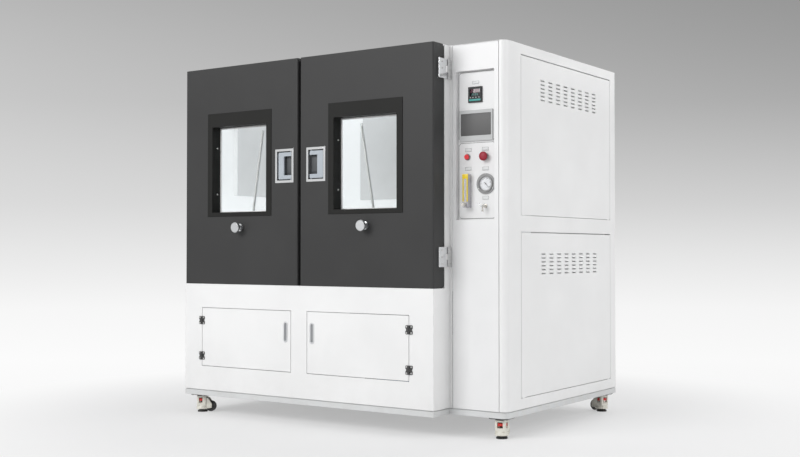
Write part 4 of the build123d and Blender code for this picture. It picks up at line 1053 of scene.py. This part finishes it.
# Painted light: the chamber liner and shelf glow in their own colour so the interior looks lit, and the
# baffles in it are darkened with painted shade.
CHAMBER_STEEL_PAINTED_LIGHT = MetalFinish(
    "chamber stainless painted glow",
    (0.82, 0.83, 0.84),
    roughness=0.42,
    grain=Grain.ALONG_Z,
    grain_depth=0.05,
    glow=0.43,
    wear=0.0,
    # painted shade: the baffles keep 0.72 of the metal's colour and glow
    shade=baffle_painted_shade,
    shade_value=0.72,
)
HINGE_STEEL = MetalFinish("satin hinge steel", (0.74, 0.74, 0.74), roughness=0.32, edge=0.001)
CHROME = MetalFinish("satin chrome", (0.78, 0.79, 0.80), roughness=0.18, edge=0.001)
BEAD_WHITE = PaintFinish("glazing bead", (0.88, 0.88, 0.87), roughness=0.3, edge=0.001, dust=0.0)
SCREW_STEEL = MetalFinish("zinc screws", (0.66, 0.66, 0.65), roughness=0.3)
PADDLE_ZINC = PaintFinish(
    "paddle zinc", (0.42, 0.46, 0.50), roughness=0.32, edge=0.0012, wear=0.15, dust=0.02
)
BLACK_RUBBER = PlasticFinish("black rubber", (0.018, 0.018, 0.018), roughness=0.62, texture=0.2)
BLACK_PLASTIC = PlasticFinish("black plastic", (0.022, 0.022, 0.023), roughness=0.4)
WELL_GREY = PlasticFinish("handle well", (0.07, 0.075, 0.08), roughness=0.5)
TOUCH_GREY = PlasticFinish("touch panel bezel", (0.52, 0.53, 0.53), roughness=0.5)
TOUCH_GLASS = PlasticFinish(
    "touch panel glass", (0.105, 0.105, 0.105), roughness=0.5, texture=0.0, wear=0.0
)
DISPLAY_BLACK = PlasticFinish(
    "display window", (0.01, 0.01, 0.012), roughness=0.15, texture=0.0, wear=0.0, coat=0.8
)
SIGNAL_RED = PlasticFinish("signal red", (0.78, 0.02, 0.03), roughness=0.32, texture=0.02, coat=0.3)
CRIMSON = PlasticFinish("emergency crimson", (0.32, 0.006, 0.024), roughness=0.5, texture=0.02, coat=0.1)
DIAL_RED = PlasticFinish("dial red", (0.62, 0.03, 0.02), roughness=0.38, texture=0.05)
GAUGE_METAL = PaintFinish("gauge bezel", (0.30, 0.30, 0.30), roughness=0.5, edge=0.0006, dust=0.0)
NICKEL = MetalFinish("plated brass", (0.66, 0.64, 0.60), roughness=0.22)
CLEAR_ACRYLIC = ClearFinish("clear acrylic", (0.74, 0.73, 0.78), alpha=0.45)
LENS = ClearFinish("gauge lens", (0.9, 0.9, 0.92), alpha=0.08, roughness=0.05)
WINDOW_PANE = GlassFinish("window pane")
SCALE_YELLOW = ScaleFinish("flow scale", (0.80, 0.62, 0.02))
CAP_YELLOW = PlasticFinish("flow meter cap", (0.82, 0.60, 0.02), roughness=0.35)
LABEL_WHITE = PlasticFinish("label plate", (0.72, 0.73, 0.73), roughness=0.35, texture=0.03, wear=0.0)
LABEL_INK = PlasticFinish("label ink", (0.12, 0.12, 0.12), roughness=0.45, texture=0.03, wear=0.0)
CASTER_IVORY = PaintFinish(
    "caster ivory", (0.74, 0.72, 0.64), roughness=0.38, edge=0.0015, wear=0.1, dust=0.12
)
PLATE_DARK = PaintFinish("caster plate", (0.07, 0.07, 0.07), roughness=0.45, edge=0.001, wear=0.2)
DARK_STEEL = PaintFinish("blower enamel", (0.17, 0.18, 0.19), roughness=0.45, wear=0.2)
PUMP_BLUE = PaintFinish("pump enamel", (0.05, 0.13, 0.28), roughness=0.4, wear=0.15)
DIGIT_RED = GlowFinish("red segments", (0.20, 0.04, 0.08), 0.35)
DIGIT_GREEN = GlowFinish("green segments", (0.10, 0.26, 0.24), 0.4)
STRIP_TEAL = PlasticFinish("teal strip", (0.05, 0.34, 0.31), roughness=0.45, texture=0.0, wear=0.0)
CONTROLLER_BLACK = PlasticFinish(
    "controller case", (0.008, 0.009, 0.010), roughness=0.55, texture=0.05, wear=0.0, dust=0.0
)
KEY_MARK = PlasticFinish("key marks", (0.55, 0.56, 0.57), roughness=0.5, texture=0.0, wear=0.0)

MATERIALS: dict[str, bpy.types.Material] = {}


def finish(kind: Finish) -> bpy.types.Material:
    """Returns a finish's material, built on first use.

    Args:
        kind: the finish.

    Returns:
        The material.
    """
    if kind.name not in MATERIALS:
        MATERIALS[kind.name] = kind.build()
    return MATERIALS[kind.name]


@dataclass
class CadNodes:
    """Gives each carried-over CAD node its finish."""

    frame: dict
    finishes: dict[str, Finish] = field(default_factory=dict)
    small_hinges_below: float = 0.6
    hatch_hinges_beyond: float = 0.3
    wiper_blade_y: Pair = (81.2, 85.95)

    def two_tone(self) -> tuple[Finish, Finish, Finish]:
        """Makes the finishes of hinge leaves, hatch fittings and wipers.

        Returns:
            The three finishes.
        """
        blade = [at(0, y, 0).y for y in self.wiper_blade_y]
        leaves = TwoToneFinish(
            "hinge leaves",
            (0.74, 0.74, 0.74),
            (0.05, 0.05, 0.05),
            lambda w, a: w.math("LESS_THAN", a["Z"], self.small_hinges_below),
        )
        fittings = TwoToneFinish(
            "hatch fittings",
            (0.70, 0.71, 0.72),
            (0.05, 0.05, 0.05),
            lambda w, a: w.math("GREATER_THAN", w.math("ABSOLUTE", a["X"]), self.hatch_hinges_beyond),
        )
        wiper = TwoToneFinish(
            "wiper", (0.66, 0.67, 0.68), (0.70, 0.70, 0.70), lambda w, a: w.inside(a["Y"], *blade)
        )
        return leaves, fittings, wiper

    def __post_init__(self) -> None:
        """Lists the finish of each node."""
        leaves, fittings, wiper = self.two_tone()
        self.finishes = {
            "base_frame": PLINTH_GREY,
            "caster_plates": PLATE_DARK,
            "casing_shell": BODY_WHITE,
            "column_front_panel": PANEL_WHITE,
            "side_panels": BODY_WHITE,
            "rear_panel": BODY_WHITE,
            "chamber_liner": CHAMBER_STEEL_PAINTED_LIGHT,
            "sample_shelf": CHAMBER_STEEL_PAINTED_LIGHT,
            "control_plates": PLATE_WHITE,
            "temperature_controller": CONTROLLER_BLACK,
            "touch_screen": TOUCH_GREY,
            "switch_collars": GAUGE_METAL,
            "start_button": SIGNAL_RED,
            "emergency_stop": CRIMSON,
            "gauge_case": GAUGE_METAL,
            "gauge_lens": LENS,
            "gauge_needle": BLACK_PLASTIC,
            "flow_meter_body": CLEAR_ACRYLIC,
            "flow_float": NICKEL,
            "flow_valve_knob": NICKEL,
            "pressure_tap": NICKEL,
            "tap_lever": CHROME,
            "hinge_fixed_leaves": leaves,
            "blower_housing": DARK_STEEL,
            "blower_impeller": HINGE_STEEL,
            "vacuum_pump": PUMP_BLUE,
        }
        for side in ("left", "right"):
            self.finishes.update(
                {
                    side + "_door_shell": DOOR_GREY,
                    side + "_window_frame": FRAME_BLACK,
                    side + "_window_glass": WINDOW_PANE,
                    side + "_door_gasket": BLACK_RUBBER,
                    side + "_door_hardware": CHROME,
                    side + "_handle_paddle": PADDLE_ZINC,
                    side + "_wiper": wiper,
                    side + "_hatch_panel": BODY_WHITE,
                    side + "_hatch_fittings": fittings,
                }
            )
        for corner in CasterDetails.places:
            self.finishes.update(
                {
                    corner + "_caster_housing": CASTER_IVORY,
                    corner + "_caster_wheel": BLACK_PLASTIC,
                    corner + "_caster_dial": DIAL_RED,
                    corner + "_caster_foot": BLACK_RUBBER,
                }
            )

    def dress(self) -> None:
        """Gives every node its finish in all of its material slots."""
        for name, kind in self.finishes.items():
            node = self.frame["nodes"][name]
            material = finish(kind)
            if not node.data.materials:
                node.data.materials.append(material)
            for index in range(len(node.data.materials)):
                node.data.materials[index] = material
            LOG.info("%s finished in %s", name, kind.name)
        missing = set(self.frame["nodes"]) - set(self.finishes)
        LOG.info("dressed %d CAD nodes, %d without a finish", len(self.finishes), len(missing))


@dataclass
class DoorDetails:
    """What the doors carry beside their CAD nodes: glazing beads, screws and handle wells."""

    windows: dict[str, Pair] = field(
        default_factory=lambda: {"left": (192.0, 560.0), "right": (987.0, 1355.0)}
    )
    window_z: Pair = (1044.0, 1486.0)
    glass_front: float = 61.0
    rim_depth: float = 5.0
    rim_width: float = 7.0
    reveal_shares: Pair = (0.218, 0.76)
    reveal_screw_y: float = 34.0
    reveal_screw_radius: float = 4.5
    hinge_centres: Pair = (817.5, 1680.5)
    hinge_x: dict[str, float] = field(default_factory=lambda: {"left": -12.0, "right": 1568.0})
    hinge_screw_steps: tuple[float, ...] = (-30.0, 0.0, 30.0)
    hinge_screw_radius: float = 4.2
    door_leaf_y: float = 55.0
    fixed_leaf_y: float = 122.0
    handles: dict[str, float] = field(default_factory=lambda: {"left": 678.5, "right": 877.5})
    handle_height: float = 1267.0
    well_half: Pair = (46.5, 71.5)
    well_y: Pair = (20.5, 22.0)
    stop_reach: Pair = (4.0, 40.0)
    stop_half: float = 36.0
    stop_y: Pair = (16.5, 20.6)

    def window_rim(self, side: str) -> None:
        """The bright glazing bead that holds the pane at the end of the reveal.

        Args:
            side: left or right.
        """
        y = (self.glass_front - self.rim_depth, self.glass_front)
        rim = ring(self.windows[side], self.window_z, y, self.rim_width, 1.0)
        dress(rim, side + "_glazing_bead", finish(BEAD_WHITE), side + "_door")

    def reveal_screws(self, side: str) -> None:
        """Two screws in each side of the window reveal.

        Args:
            side: left or right.
        """
        low, high = self.window_z
        heights = [low + (high - low) * share for share in self.reveal_shares]
        rows = []
        for x, facing in zip(self.windows[side], (Facing.RIGHT, Facing.LEFT)):
            head = screw_head(self.reveal_screw_radius, facing)
            rows.append(copies(head, [at(x, self.reveal_screw_y, z) for z in heights]))
        name = side + "_reveal_screws"
        dress(joined(rows), name, finish(SCREW_STEEL), side + "_door")

    def hinge_screws(self, side: str) -> None:
        """Three screws in each door leaf and three in each fixed leaf.

        Args:
            side: left or right.
        """
        facing = Facing.LEFT if side == "left" else Facing.RIGHT
        leaves = (
            (side + "_door", self.door_leaf_y, side + "_leaf_screws"),
            ("cabinet", self.fixed_leaf_y, side + "_fixed_leaf_screws"),
        )
        heights = [z + step for z in self.hinge_centres for step in self.hinge_screw_steps]
        for body, y, name in leaves:
            places = [at(self.hinge_x[side], y, z) for z in heights]
            screws = copies(screw_head(self.hinge_screw_radius, facing), places)
            dress(screws, name, finish(SCREW_STEEL), body)

    def handle_well(self, side: str) -> None:
        """The dark moulded liner of the handle tray, with a raised finger stop.

        Args:
            side: left or right.
        """
        x, z = self.handles[side], self.handle_height
        toward_gap = 1 if side == "left" else -1
        floor = block(span(x, self.well_half[0]), self.well_y, span(z, self.well_half[1]), 0.6)
        low, high = sorted(x + toward_gap * reach for reach in self.stop_reach)
        pad = block((low, high), self.stop_y, span(z, self.stop_half), 3.0, 3)
        name = side + "_handle_well"
        dress(joined([floor, pad]), name, finish(WELL_GREY), side + "_door")

    def build(self) -> None:
        """Builds the details of both doors."""
        for side in ("left", "right"):
            self.window_rim(side)
            self.reveal_screws(side)
            self.hinge_screws(side)
            self.handle_well(side)


@dataclass
class HatchDetails:
    """The screw heads of the hatch hinges."""

    hinge_x: dict[str, float] = field(default_factory=lambda: {"left": 120.0, "right": 1423.5})
    hinge_heights: Pair = (301.0, 485.0)
    screw_reach: float = 13.0
    screw_steps: Pair = (-14.5, 14.5)
    screw_y: float = -2.0
    screw_radius: float = 4.0

    def build(self) -> None:
        """Builds the screws of both hatches."""
        heights = [z + step for z in self.hinge_heights for step in self.screw_steps]
        for side, inward in (("left", 1), ("right", -1)):
            leaves = ((side + "_hatch", inward, "_hatch_screws"), ("cabinet", -inward, "_hatch_fixed_screws"))
            for body, direction, name in leaves:
                x = self.hinge_x[side] + direction * self.screw_reach
                places = [at(x, self.screw_y, z) for z in heights]
                screws = copies(screw_head(self.screw_radius, Facing.FRONT), places)
                dress(screws, side + name, finish(SCREW_STEEL), body)


SEGMENTS: dict[str, str] = {"0": "abcdef", "2": "abged", "5": "afgcd", "8": "abcdefg"}


@dataclass
class ControlDetails:
    """The control column's labels, displays, dial face, flow scale and key marks."""

    front: float = 158.0
    labels: tuple[Pair, ...] = (
        (1644.6, 1308.0),
        (1735.0, 1310.0),
        (1644.6, 1222.0),
        (1736.7, 1220.0),
        (1736.6, 1087.0),
    )
    label_size: Pair = (34.0, 17.0)
    tag: Pair = (1685.0, 1616.0)
    tag_size: Pair = (36.0, 15.0)
    border_inset: float = 1.0
    border_width: float = 0.9
    controller: Pair = (1684.0, 1560.0)
    controller_face: float = 150.0
    window_half: float = 27.2
    window_z: Pair = (-7.0, 25.7)
    strip_half: float = 30.0
    strip_z: Pair = (-29.0, -20.0)
    reading: str = "2580"
    figure_share: float = 0.5
    stroke_share: float = 0.12
    key_steps: tuple[float, ...] = (-24.0, -10.0, 6.0, 22.0)
    key_half: float = 3.0
    key_z: Pair = (-16.0, -11.5)
    touch: Pair = (1688.3, 1423.5)
    touch_size: Pair = (159.0, 101.0)
    touch_y: Pair = (151.8, 153.2)
    gauge: Pair = (1738.0, 1150.5)
    gauge_radius: float = 30.6
    gauge_bore: float = 2.5
    gauge_chamfer: float = 0.8
    gauge_screw_circle: float = 43.3
    gauge_screw_radius: float = 2.6
    flow_x: Pair = (1630.0, 1661.0)
    flow_z: Pair = (1043.0, 1197.0)
    scale_offset: float = 10.2
    scale_half: float = 3.2
    scale_y: Pair = (127.6, 128.1)
    cap_height: float = 22.0
    cap_y: Pair = (127.2, 129.2)

    def label_plates(self) -> None:
        """Small bare label plates beside the instruments, each with a thin printed border."""
        plates = []
        borders = []
        sizes = [(place, self.label_size) for place in self.labels] + [(self.tag, self.tag_size)]
        plate_y = (self.front - 1.0, self.front)
        border_y = (self.front - 1.25, self.front - 0.95)
        for (x, z), (width, tall) in sizes:
            plates.append(block(span(x, width / 2), plate_y, span(z, tall / 2), 0.4))
            across = span(x, width / 2 - self.border_inset)
            upward = span(z, tall / 2 - self.border_inset)
            borders.append(ring(across, upward, border_y, self.border_width, 0.1))
        dress(joined(plates), "label_plates", finish(LABEL_WHITE), "cabinet")
        dress(joined(borders), "label_borders", finish(LABEL_INK), "cabinet")

    def figure(self, x: float, z: float, tall: float, lit: str) -> list[bpy.types.Object]:
        """One seven-segment figure.

        Args:
            x: its middle.
            z: its middle.
            tall: its height.
            lit: letters a to g of the segments that are lit.

        Returns:
            The lit segments.
        """
        side = tall * self.figure_share / 2
        thick = tall * self.stroke_share
        half = tall / 2
        spans = {
            "a": ((-side, side), (half - thick, half)),
            "b": ((side - thick, side), (0, half)),
            "c": ((side - thick, side), (-half, 0)),
            "d": ((-side, side), (-half, -half + thick)),
            "e": ((-side, -side + thick), (-half, 0)),
            "f": ((-side, -side + thick), (0, half)),
            "g": ((-side, side), (-thick / 2, thick / 2)),
        }
        y = (self.controller_face + 0.1, self.controller_face + 0.5)
        made = []
        for letter in lit:
            across, up = spans[letter]
            made.append(block((x + across[0], x + across[1]), y, (z + up[0], z + up[1]), 0.15, 1))
        return made

    def figures(self, x: float, z: float, pitch: float, tall: float) -> bpy.types.Object:
        """A row of figures.

        Args:
            x: the first one's middle.
            z: their middle.
            pitch: the step from one to the next.
            tall: their height.

        Returns:
            The row as one object.
        """
        made = []
        for index, digit in enumerate(self.reading):
            made += self.figure(x + index * pitch, z, tall, SEGMENTS[digit])
        return joined(made)

    def controller_display(self) -> None:
        """The controller's window with two rows of four figures, and the teal strip under its keys."""
        x, z = self.controller
        window_y = (self.controller_face + 0.4, self.controller_face + 1.1)
        window_z = (z + self.window_z[0], z + self.window_z[1])
        window = block(span(x, self.window_half), window_y, window_z, 0.3)
        dress(window, "controller_window", finish(DISPLAY_BLACK), "cabinet")
        strip_y = (self.controller_face - 0.2, self.controller_face + 0.6)
        strip_z = (z + self.strip_z[0], z + self.strip_z[1])
        strip = block(span(x, self.strip_half), strip_y, strip_z, 0.3)
        dress(strip, "controller_strip", finish(STRIP_TEAL), "cabinet")
        upper = self.figures(x - 18, z + 16.5, 12, 14)
        dress(upper, "upper_figures", finish(DIGIT_RED), "cabinet")
        lower = self.figures(x - 13.5, z + 0.5, 9, 9.5)
        dress(lower, "lower_figures", finish(DIGIT_GREEN), "cabinet")

    def touch_glass(self) -> None:
        """The touch panel's glass in its sunk frame."""
        x, z = self.touch
        width, tall = self.touch_size
        glass = block(span(x, width / 2), self.touch_y, span(z, tall / 2), 0.6, 3)
        dress(glass, "touch_glass", finish(TOUCH_GLASS), "cabinet")

    def gauge_face(self) -> None:
        """The printed dial disc and the flange's three screws."""
        x, z = self.gauge
        rim = self.gauge_radius
        profile = [(rim, 0.0), (rim, 0.3), (rim - self.gauge_chamfer, 0.5), (self.gauge_bore, 0.5)]
        face = turned(profile, at(x, self.front - 2.0, z), Facing.FRONT, 64)
        dial_print = finish(DialFinish("gauge print", self.gauge, rim))
        dress(face, "gauge_face", dial_print, "cabinet")
        places = []
        for angle in (90, 210, 330):
            turn = math.radians(angle)
            across = self.gauge_screw_circle * math.cos(turn)
            upward = self.gauge_screw_circle * math.sin(turn)
            places.append(at(x + across, self.front - 4.4, z + upward))
        screws = copies(screw_head(self.gauge_screw_radius, Facing.FRONT), places)
        dress(screws, "gauge_screws", finish(SCREW_STEEL), "cabinet")

    def flow_scale(self) -> None:
        """The flow meter's two scale strips, yellow end cap and window border."""
        left, right = self.flow_x
        low, high = self.flow_z
        cap_foot = high - self.cap_height
        strips = []
        for offset in (-self.scale_offset, self.scale_offset):
            across = span((left + right) / 2 + offset, self.scale_half)
            strips.append(block(across, self.scale_y, (low + 30, cap_foot), 0.15, 1))
        dress(joined(strips), "flow_scale", finish(SCALE_YELLOW), "cabinet")
        cap = block((left + 0.4, right - 0.4), self.cap_y, (cap_foot, high - 0.5), 0.6)
        dress(cap, "flow_cap", finish(CAP_YELLOW), "cabinet")
        border = ring((left + 1, right - 1), (low + 27, cap_foot + 3), (127.5, 128.05), 1.0, 0.1)
        dress(border, "flow_window_border", finish(CAP_YELLOW), "cabinet")

    def key_marks(self) -> None:
        """The controller's four pale key marks."""
        x, z = self.controller
        y = (self.controller_face - 0.3, self.controller_face + 0.4)
        key_z = (z + self.key_z[0], z + self.key_z[1])
        marks = [block(span(x + step, self.key_half), y, key_z, 0.2, 1) for step in self.key_steps]
        dress(joined(marks), "key_marks", finish(KEY_MARK), "cabinet")

    def build(self) -> None:
        """Builds the column's details."""
        self.label_plates()
        self.controller_display()
        self.touch_glass()
        self.gauge_face()
        self.flow_scale()
        self.key_marks()


@dataclass
class CasterDetails:
    """The bolts of the caster plates."""

    places: ClassVar[dict[str, Pair]] = {
        "front_left": (68.0, 60.0),
        "front_right": (1800.0, 190.0),
        "rear_right": (1800.0, 1258.0),
        "rear_left": (68.0, 1258.0),
    }
    bolt_reach: float = 36.0
    bolt_z: float = 90.0
    bolt_radius: float = 6.0

    def build(self) -> None:
        """Builds four bolt heads under each plate."""
        reaches = (-self.bolt_reach, self.bolt_reach)
        bolts = [
            at(x + across, y + along, self.bolt_z)
            for x, y in self.places.values()
            for across in reaches
            for along in reaches
        ]
        heads = copies(screw_head(self.bolt_radius, Facing.DOWN), bolts)
        dress(heads, "caster_bolts", finish(SCREW_STEEL), "cabinet")


@dataclass
class RearDetails:
    """The screws round the rear cover."""

    x: Pair = (75.0, 1778.0)
    z: Pair = (200.0, 1720.0)
    back: float = 1319.0
    steps: int = 6
    screw_radius: float = 5.0

    def build(self) -> None:
        """Builds the screws along the cover's four sides."""
        left, right = self.x
        low, high = self.z
        places = []
        for index in range(self.steps + 1):
            share = index / self.steps
            x = left + (right - left) * share
            z = low + (high - low) * share
            places += [at(x, self.back, low), at(x, self.back, high)]
            if 0 < index < self.steps:
                places += [at(left, self.back, z), at(right, self.back, z)]
        screws = copies(screw_head(self.screw_radius, Facing.BACK), places)
        dress(screws, "rear_cover_screws", finish(SCREW_STEEL), "cabinet")


@dataclass
class Studio:
    """The camera, the soft lamps, the floor and the backdrop."""

    eye: Point = (4348.8, -4326.9, 846.2)
    yaw: float = 34.52
    pitch: float = 1.12
    lens: float = 51.35
    sensor: float = 36.0
    far_limit: float = 100.0
    floor_size: float = 160.0
    soft_light: Colour = (0.80, 0.805, 0.82)
    ambient: float = 0.62
    falloff: float = 0.64
    floor_edge: Pair = (1.2, 2.6)
    floor_glow: float = 0.45
    tones: tuple[Pair, ...] = (
        (-0.18, 0.89),
        (-0.091, 0.96),
        (-0.048, 0.92),
        (0.0, 0.79),
        (0.04, 0.67),
        (0.127, 0.49),
        (0.211, 0.387),
        (0.35, 0.30),
    )

    def camera(self) -> None:
        """Stands the camera where the photograph was taken."""
        data = bpy.data.cameras.new("camera")
        data.lens = self.lens
        data.sensor_width = self.sensor
        data.clip_end = self.far_limit
        camera = bpy.data.objects.new("camera", data)
        camera.location = at(*self.eye)
        camera.rotation_euler = Euler((math.radians(90 + self.pitch), 0, math.radians(self.yaw)))
        bpy.context.scene.collection.objects.link(camera)
        bpy.context.scene.camera = camera

    def lamp(self, name: str, place: Point, aim: Point, size: Pair, power: float) -> None:
        """Adds a rectangular soft lamp.

        Args:
            name: its name.
            place: where it stands, in the frame's metres as all of these.
            aim: the point that it looks at.
            size: its width and height.
            power: its power in watts.
        """
        data = bpy.data.lights.new(name, "AREA")
        data.shape = "RECTANGLE"
        data.size, data.size_y = size
        data.energy = power
        lamp = bpy.data.objects.new(name, data)
        lamp.location = place
        lamp.rotation_euler = (Vector(aim) - Vector(place)).to_track_quat("-Z", "Y").to_euler()
        bpy.context.scene.collection.objects.link(lamp)

    def backdrop(self, wiring: Wiring, height: object, side: object) -> bpy.types.NodeSocket:
        """The backdrop's tone: white round the horizon, grey above and darker to the right.

        Args:
            wiring: the tree that it's drawn in.
            height: the upward part of the direction from the camera.
            side: the part of that direction to the camera's right.

        Returns:
            The colour.
        """
        low, high = self.tones[0][0], self.tones[-1][0]
        ramp = wiring.node("ShaderNodeValToRGB")
        wiring.feed(ramp.inputs[0], wiring.ramp_line(height, low, high))
        stops = ramp.color_ramp.elements
        while len(stops) < len(self.tones):
            stops.new(0.5)
        for stop, (place, tone) in zip(stops, self.tones):
            stop.position = (place - low) / (high - low)
            stop.color = rgba((tone, tone, tone))
        slope = wiring.ramp(height, -0.03, 0.2, (0.03, self.falloff))
        fade = wiring.math("SUBTRACT", 1.0, wiring.math("MULTIPLY", side, slope))
        grey = wiring.node("ShaderNodeCombineColor")
        for index in range(3):
            wiring.feed(grey.inputs[index], fade)
        return wiring.mix(1.0, ramp.outputs[0], grey.outputs[0], "MULTIPLY")

    def to_the_right(self, wiring: Wiring, direction: bpy.types.NodeOutputs) -> bpy.types.NodeSocket:
        """The part of a direction that points to the camera's right.

        Args:
            wiring: the tree that it's worked out in.
            direction: the direction's three values.

        Returns:
            That part.
        """
        yaw = math.radians(self.yaw)
        along_x = wiring.math("MULTIPLY", direction["X"], math.cos(yaw))
        along_y = wiring.math("MULTIPLY", direction["Y"], math.sin(yaw))
        return wiring.math("ADD", along_x, along_y)

    def straight_rays(self, wiring: Wiring) -> bpy.types.NodeSocket:
        """One for rays from the camera, off glossy faces and through glass, else nought.

        Args:
            wiring: the tree that it's worked out in.

        Returns:
            The mask.
        """
        rays = wiring.node("ShaderNodeLightPath").outputs
        through = wiring.math("MAXIMUM", rays["Is Glossy Ray"], rays["Is Transmission Ray"])
        return wiring.math("MAXIMUM", rays["Is Camera Ray"], through)

    def world(self) -> None:
        """A pale world: soft light for the object and a plain backdrop for camera, gloss and glass."""
        world = bpy.data.worlds.new("studio")
        bpy.context.scene.world = world
        world.use_nodes = True
        wiring = Wiring(world.node_tree)
        background = world.node_tree.nodes["Background"]
        direction = wiring.axes(wiring.node("ShaderNodeTexCoord").outputs["Generated"])
        side = self.to_the_right(wiring, direction)
        straight = self.straight_rays(wiring)
        tone = wiring.mix(straight, rgba(self.soft_light), self.backdrop(wiring, direction["Z"], side))
        strength = wiring.math("MULTIPLY_ADD", straight, 1.0 - self.ambient, self.ambient)
        wiring.feed(background.inputs["Color"], tone)
        wiring.feed(background.inputs["Strength"], strength)

    def floor(self) -> None:
        """A plain pale floor that takes the object's shadow and runs into the backdrop away from it."""
        deselect()
        bpy.ops.mesh.primitive_plane_add(size=self.floor_size, location=(0, 0, 0))
        floor = bpy.context.object
        floor.name = "floor"
        material, wiring, shader = new_material("pale floor")
        patches = wiring.ramp(wiring.noise(wiring.place(), 0.6, 2.0), 0.3, 0.7)
        wiring.feed(shader.inputs["Base Color"], wiring.mix(patches, rgba(WHITE, 0.80), rgba(WHITE, 0.83)))
        shader.inputs["Roughness"].default_value = 0.9
        shader.inputs["Specular IOR Level"].default_value = 0.1
        reach = wiring.node("ShaderNodeVectorMath", operation="SUBTRACT")
        wiring.feed(reach.inputs[0], wiring.place())
        wiring.feed(reach.inputs[1], at(*self.eye))
        unit = wiring.node("ShaderNodeVectorMath", operation="NORMALIZE")
        wiring.feed(unit.inputs[0], reach.outputs[0])
        direction = wiring.axes(unit.outputs[0])
        side = self.to_the_right(wiring, direction)
        glow = wiring.node("ShaderNodeEmission")
        wiring.feed(glow.inputs[0], self.backdrop(wiring, direction["Z"], side))
        length = wiring.node("ShaderNodeVectorMath", operation="LENGTH")
        wiring.feed(length.inputs[0], wiring.place())
        away = wiring.ramp(length.outputs["Value"], *self.floor_edge, (self.floor_glow, 1.0))
        blend = wiring.node("ShaderNodeMixShader")
        share = wiring.math("MULTIPLY", away, self.straight_rays(wiring))
        for index, source in enumerate((share, shader.outputs[0], glow.outputs[0])):
            wiring.feed(blend.inputs[index], source)
        wiring.feed(material.node_tree.nodes["Material Output"].inputs["Surface"], blend.outputs[0])
        floor.data.materials.append(material)

    def build(self) -> None:
        """Sets the studio up."""
        self.camera()
        self.world()
        self.lamp("key", (-1.4, -6.0, 3.8), (0.3, 0.0, 0.8), (4.0, 3.0), 240.0)
        self.lamp("side", (5.5, 0.6, 2.6), (0.5, 0.0, 0.9), (3.0, 3.0), 90.0)
        self.lamp("back", (1.0, 5.5, 3.5), (0.0, 0.0, 0.9), (3.0, 2.0), 80.0)
        self.floor()
        bpy.context.scene.view_settings.view_transform = "Standard"
        LOG.info("studio built")


def main() -> None:
    """Builds the looks in order."""
    logging.basicConfig(level=logging.INFO)
    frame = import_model()
    Studio().build()
    CadNodes(frame).dress()
    for details in (DoorDetails(), HatchDetails(), ControlDetails(), CasterDetails(), RearDetails()):
        details.build()
        LOG.info("%s done", type(details).__name__)


if __name__ == "__main__":
    main()
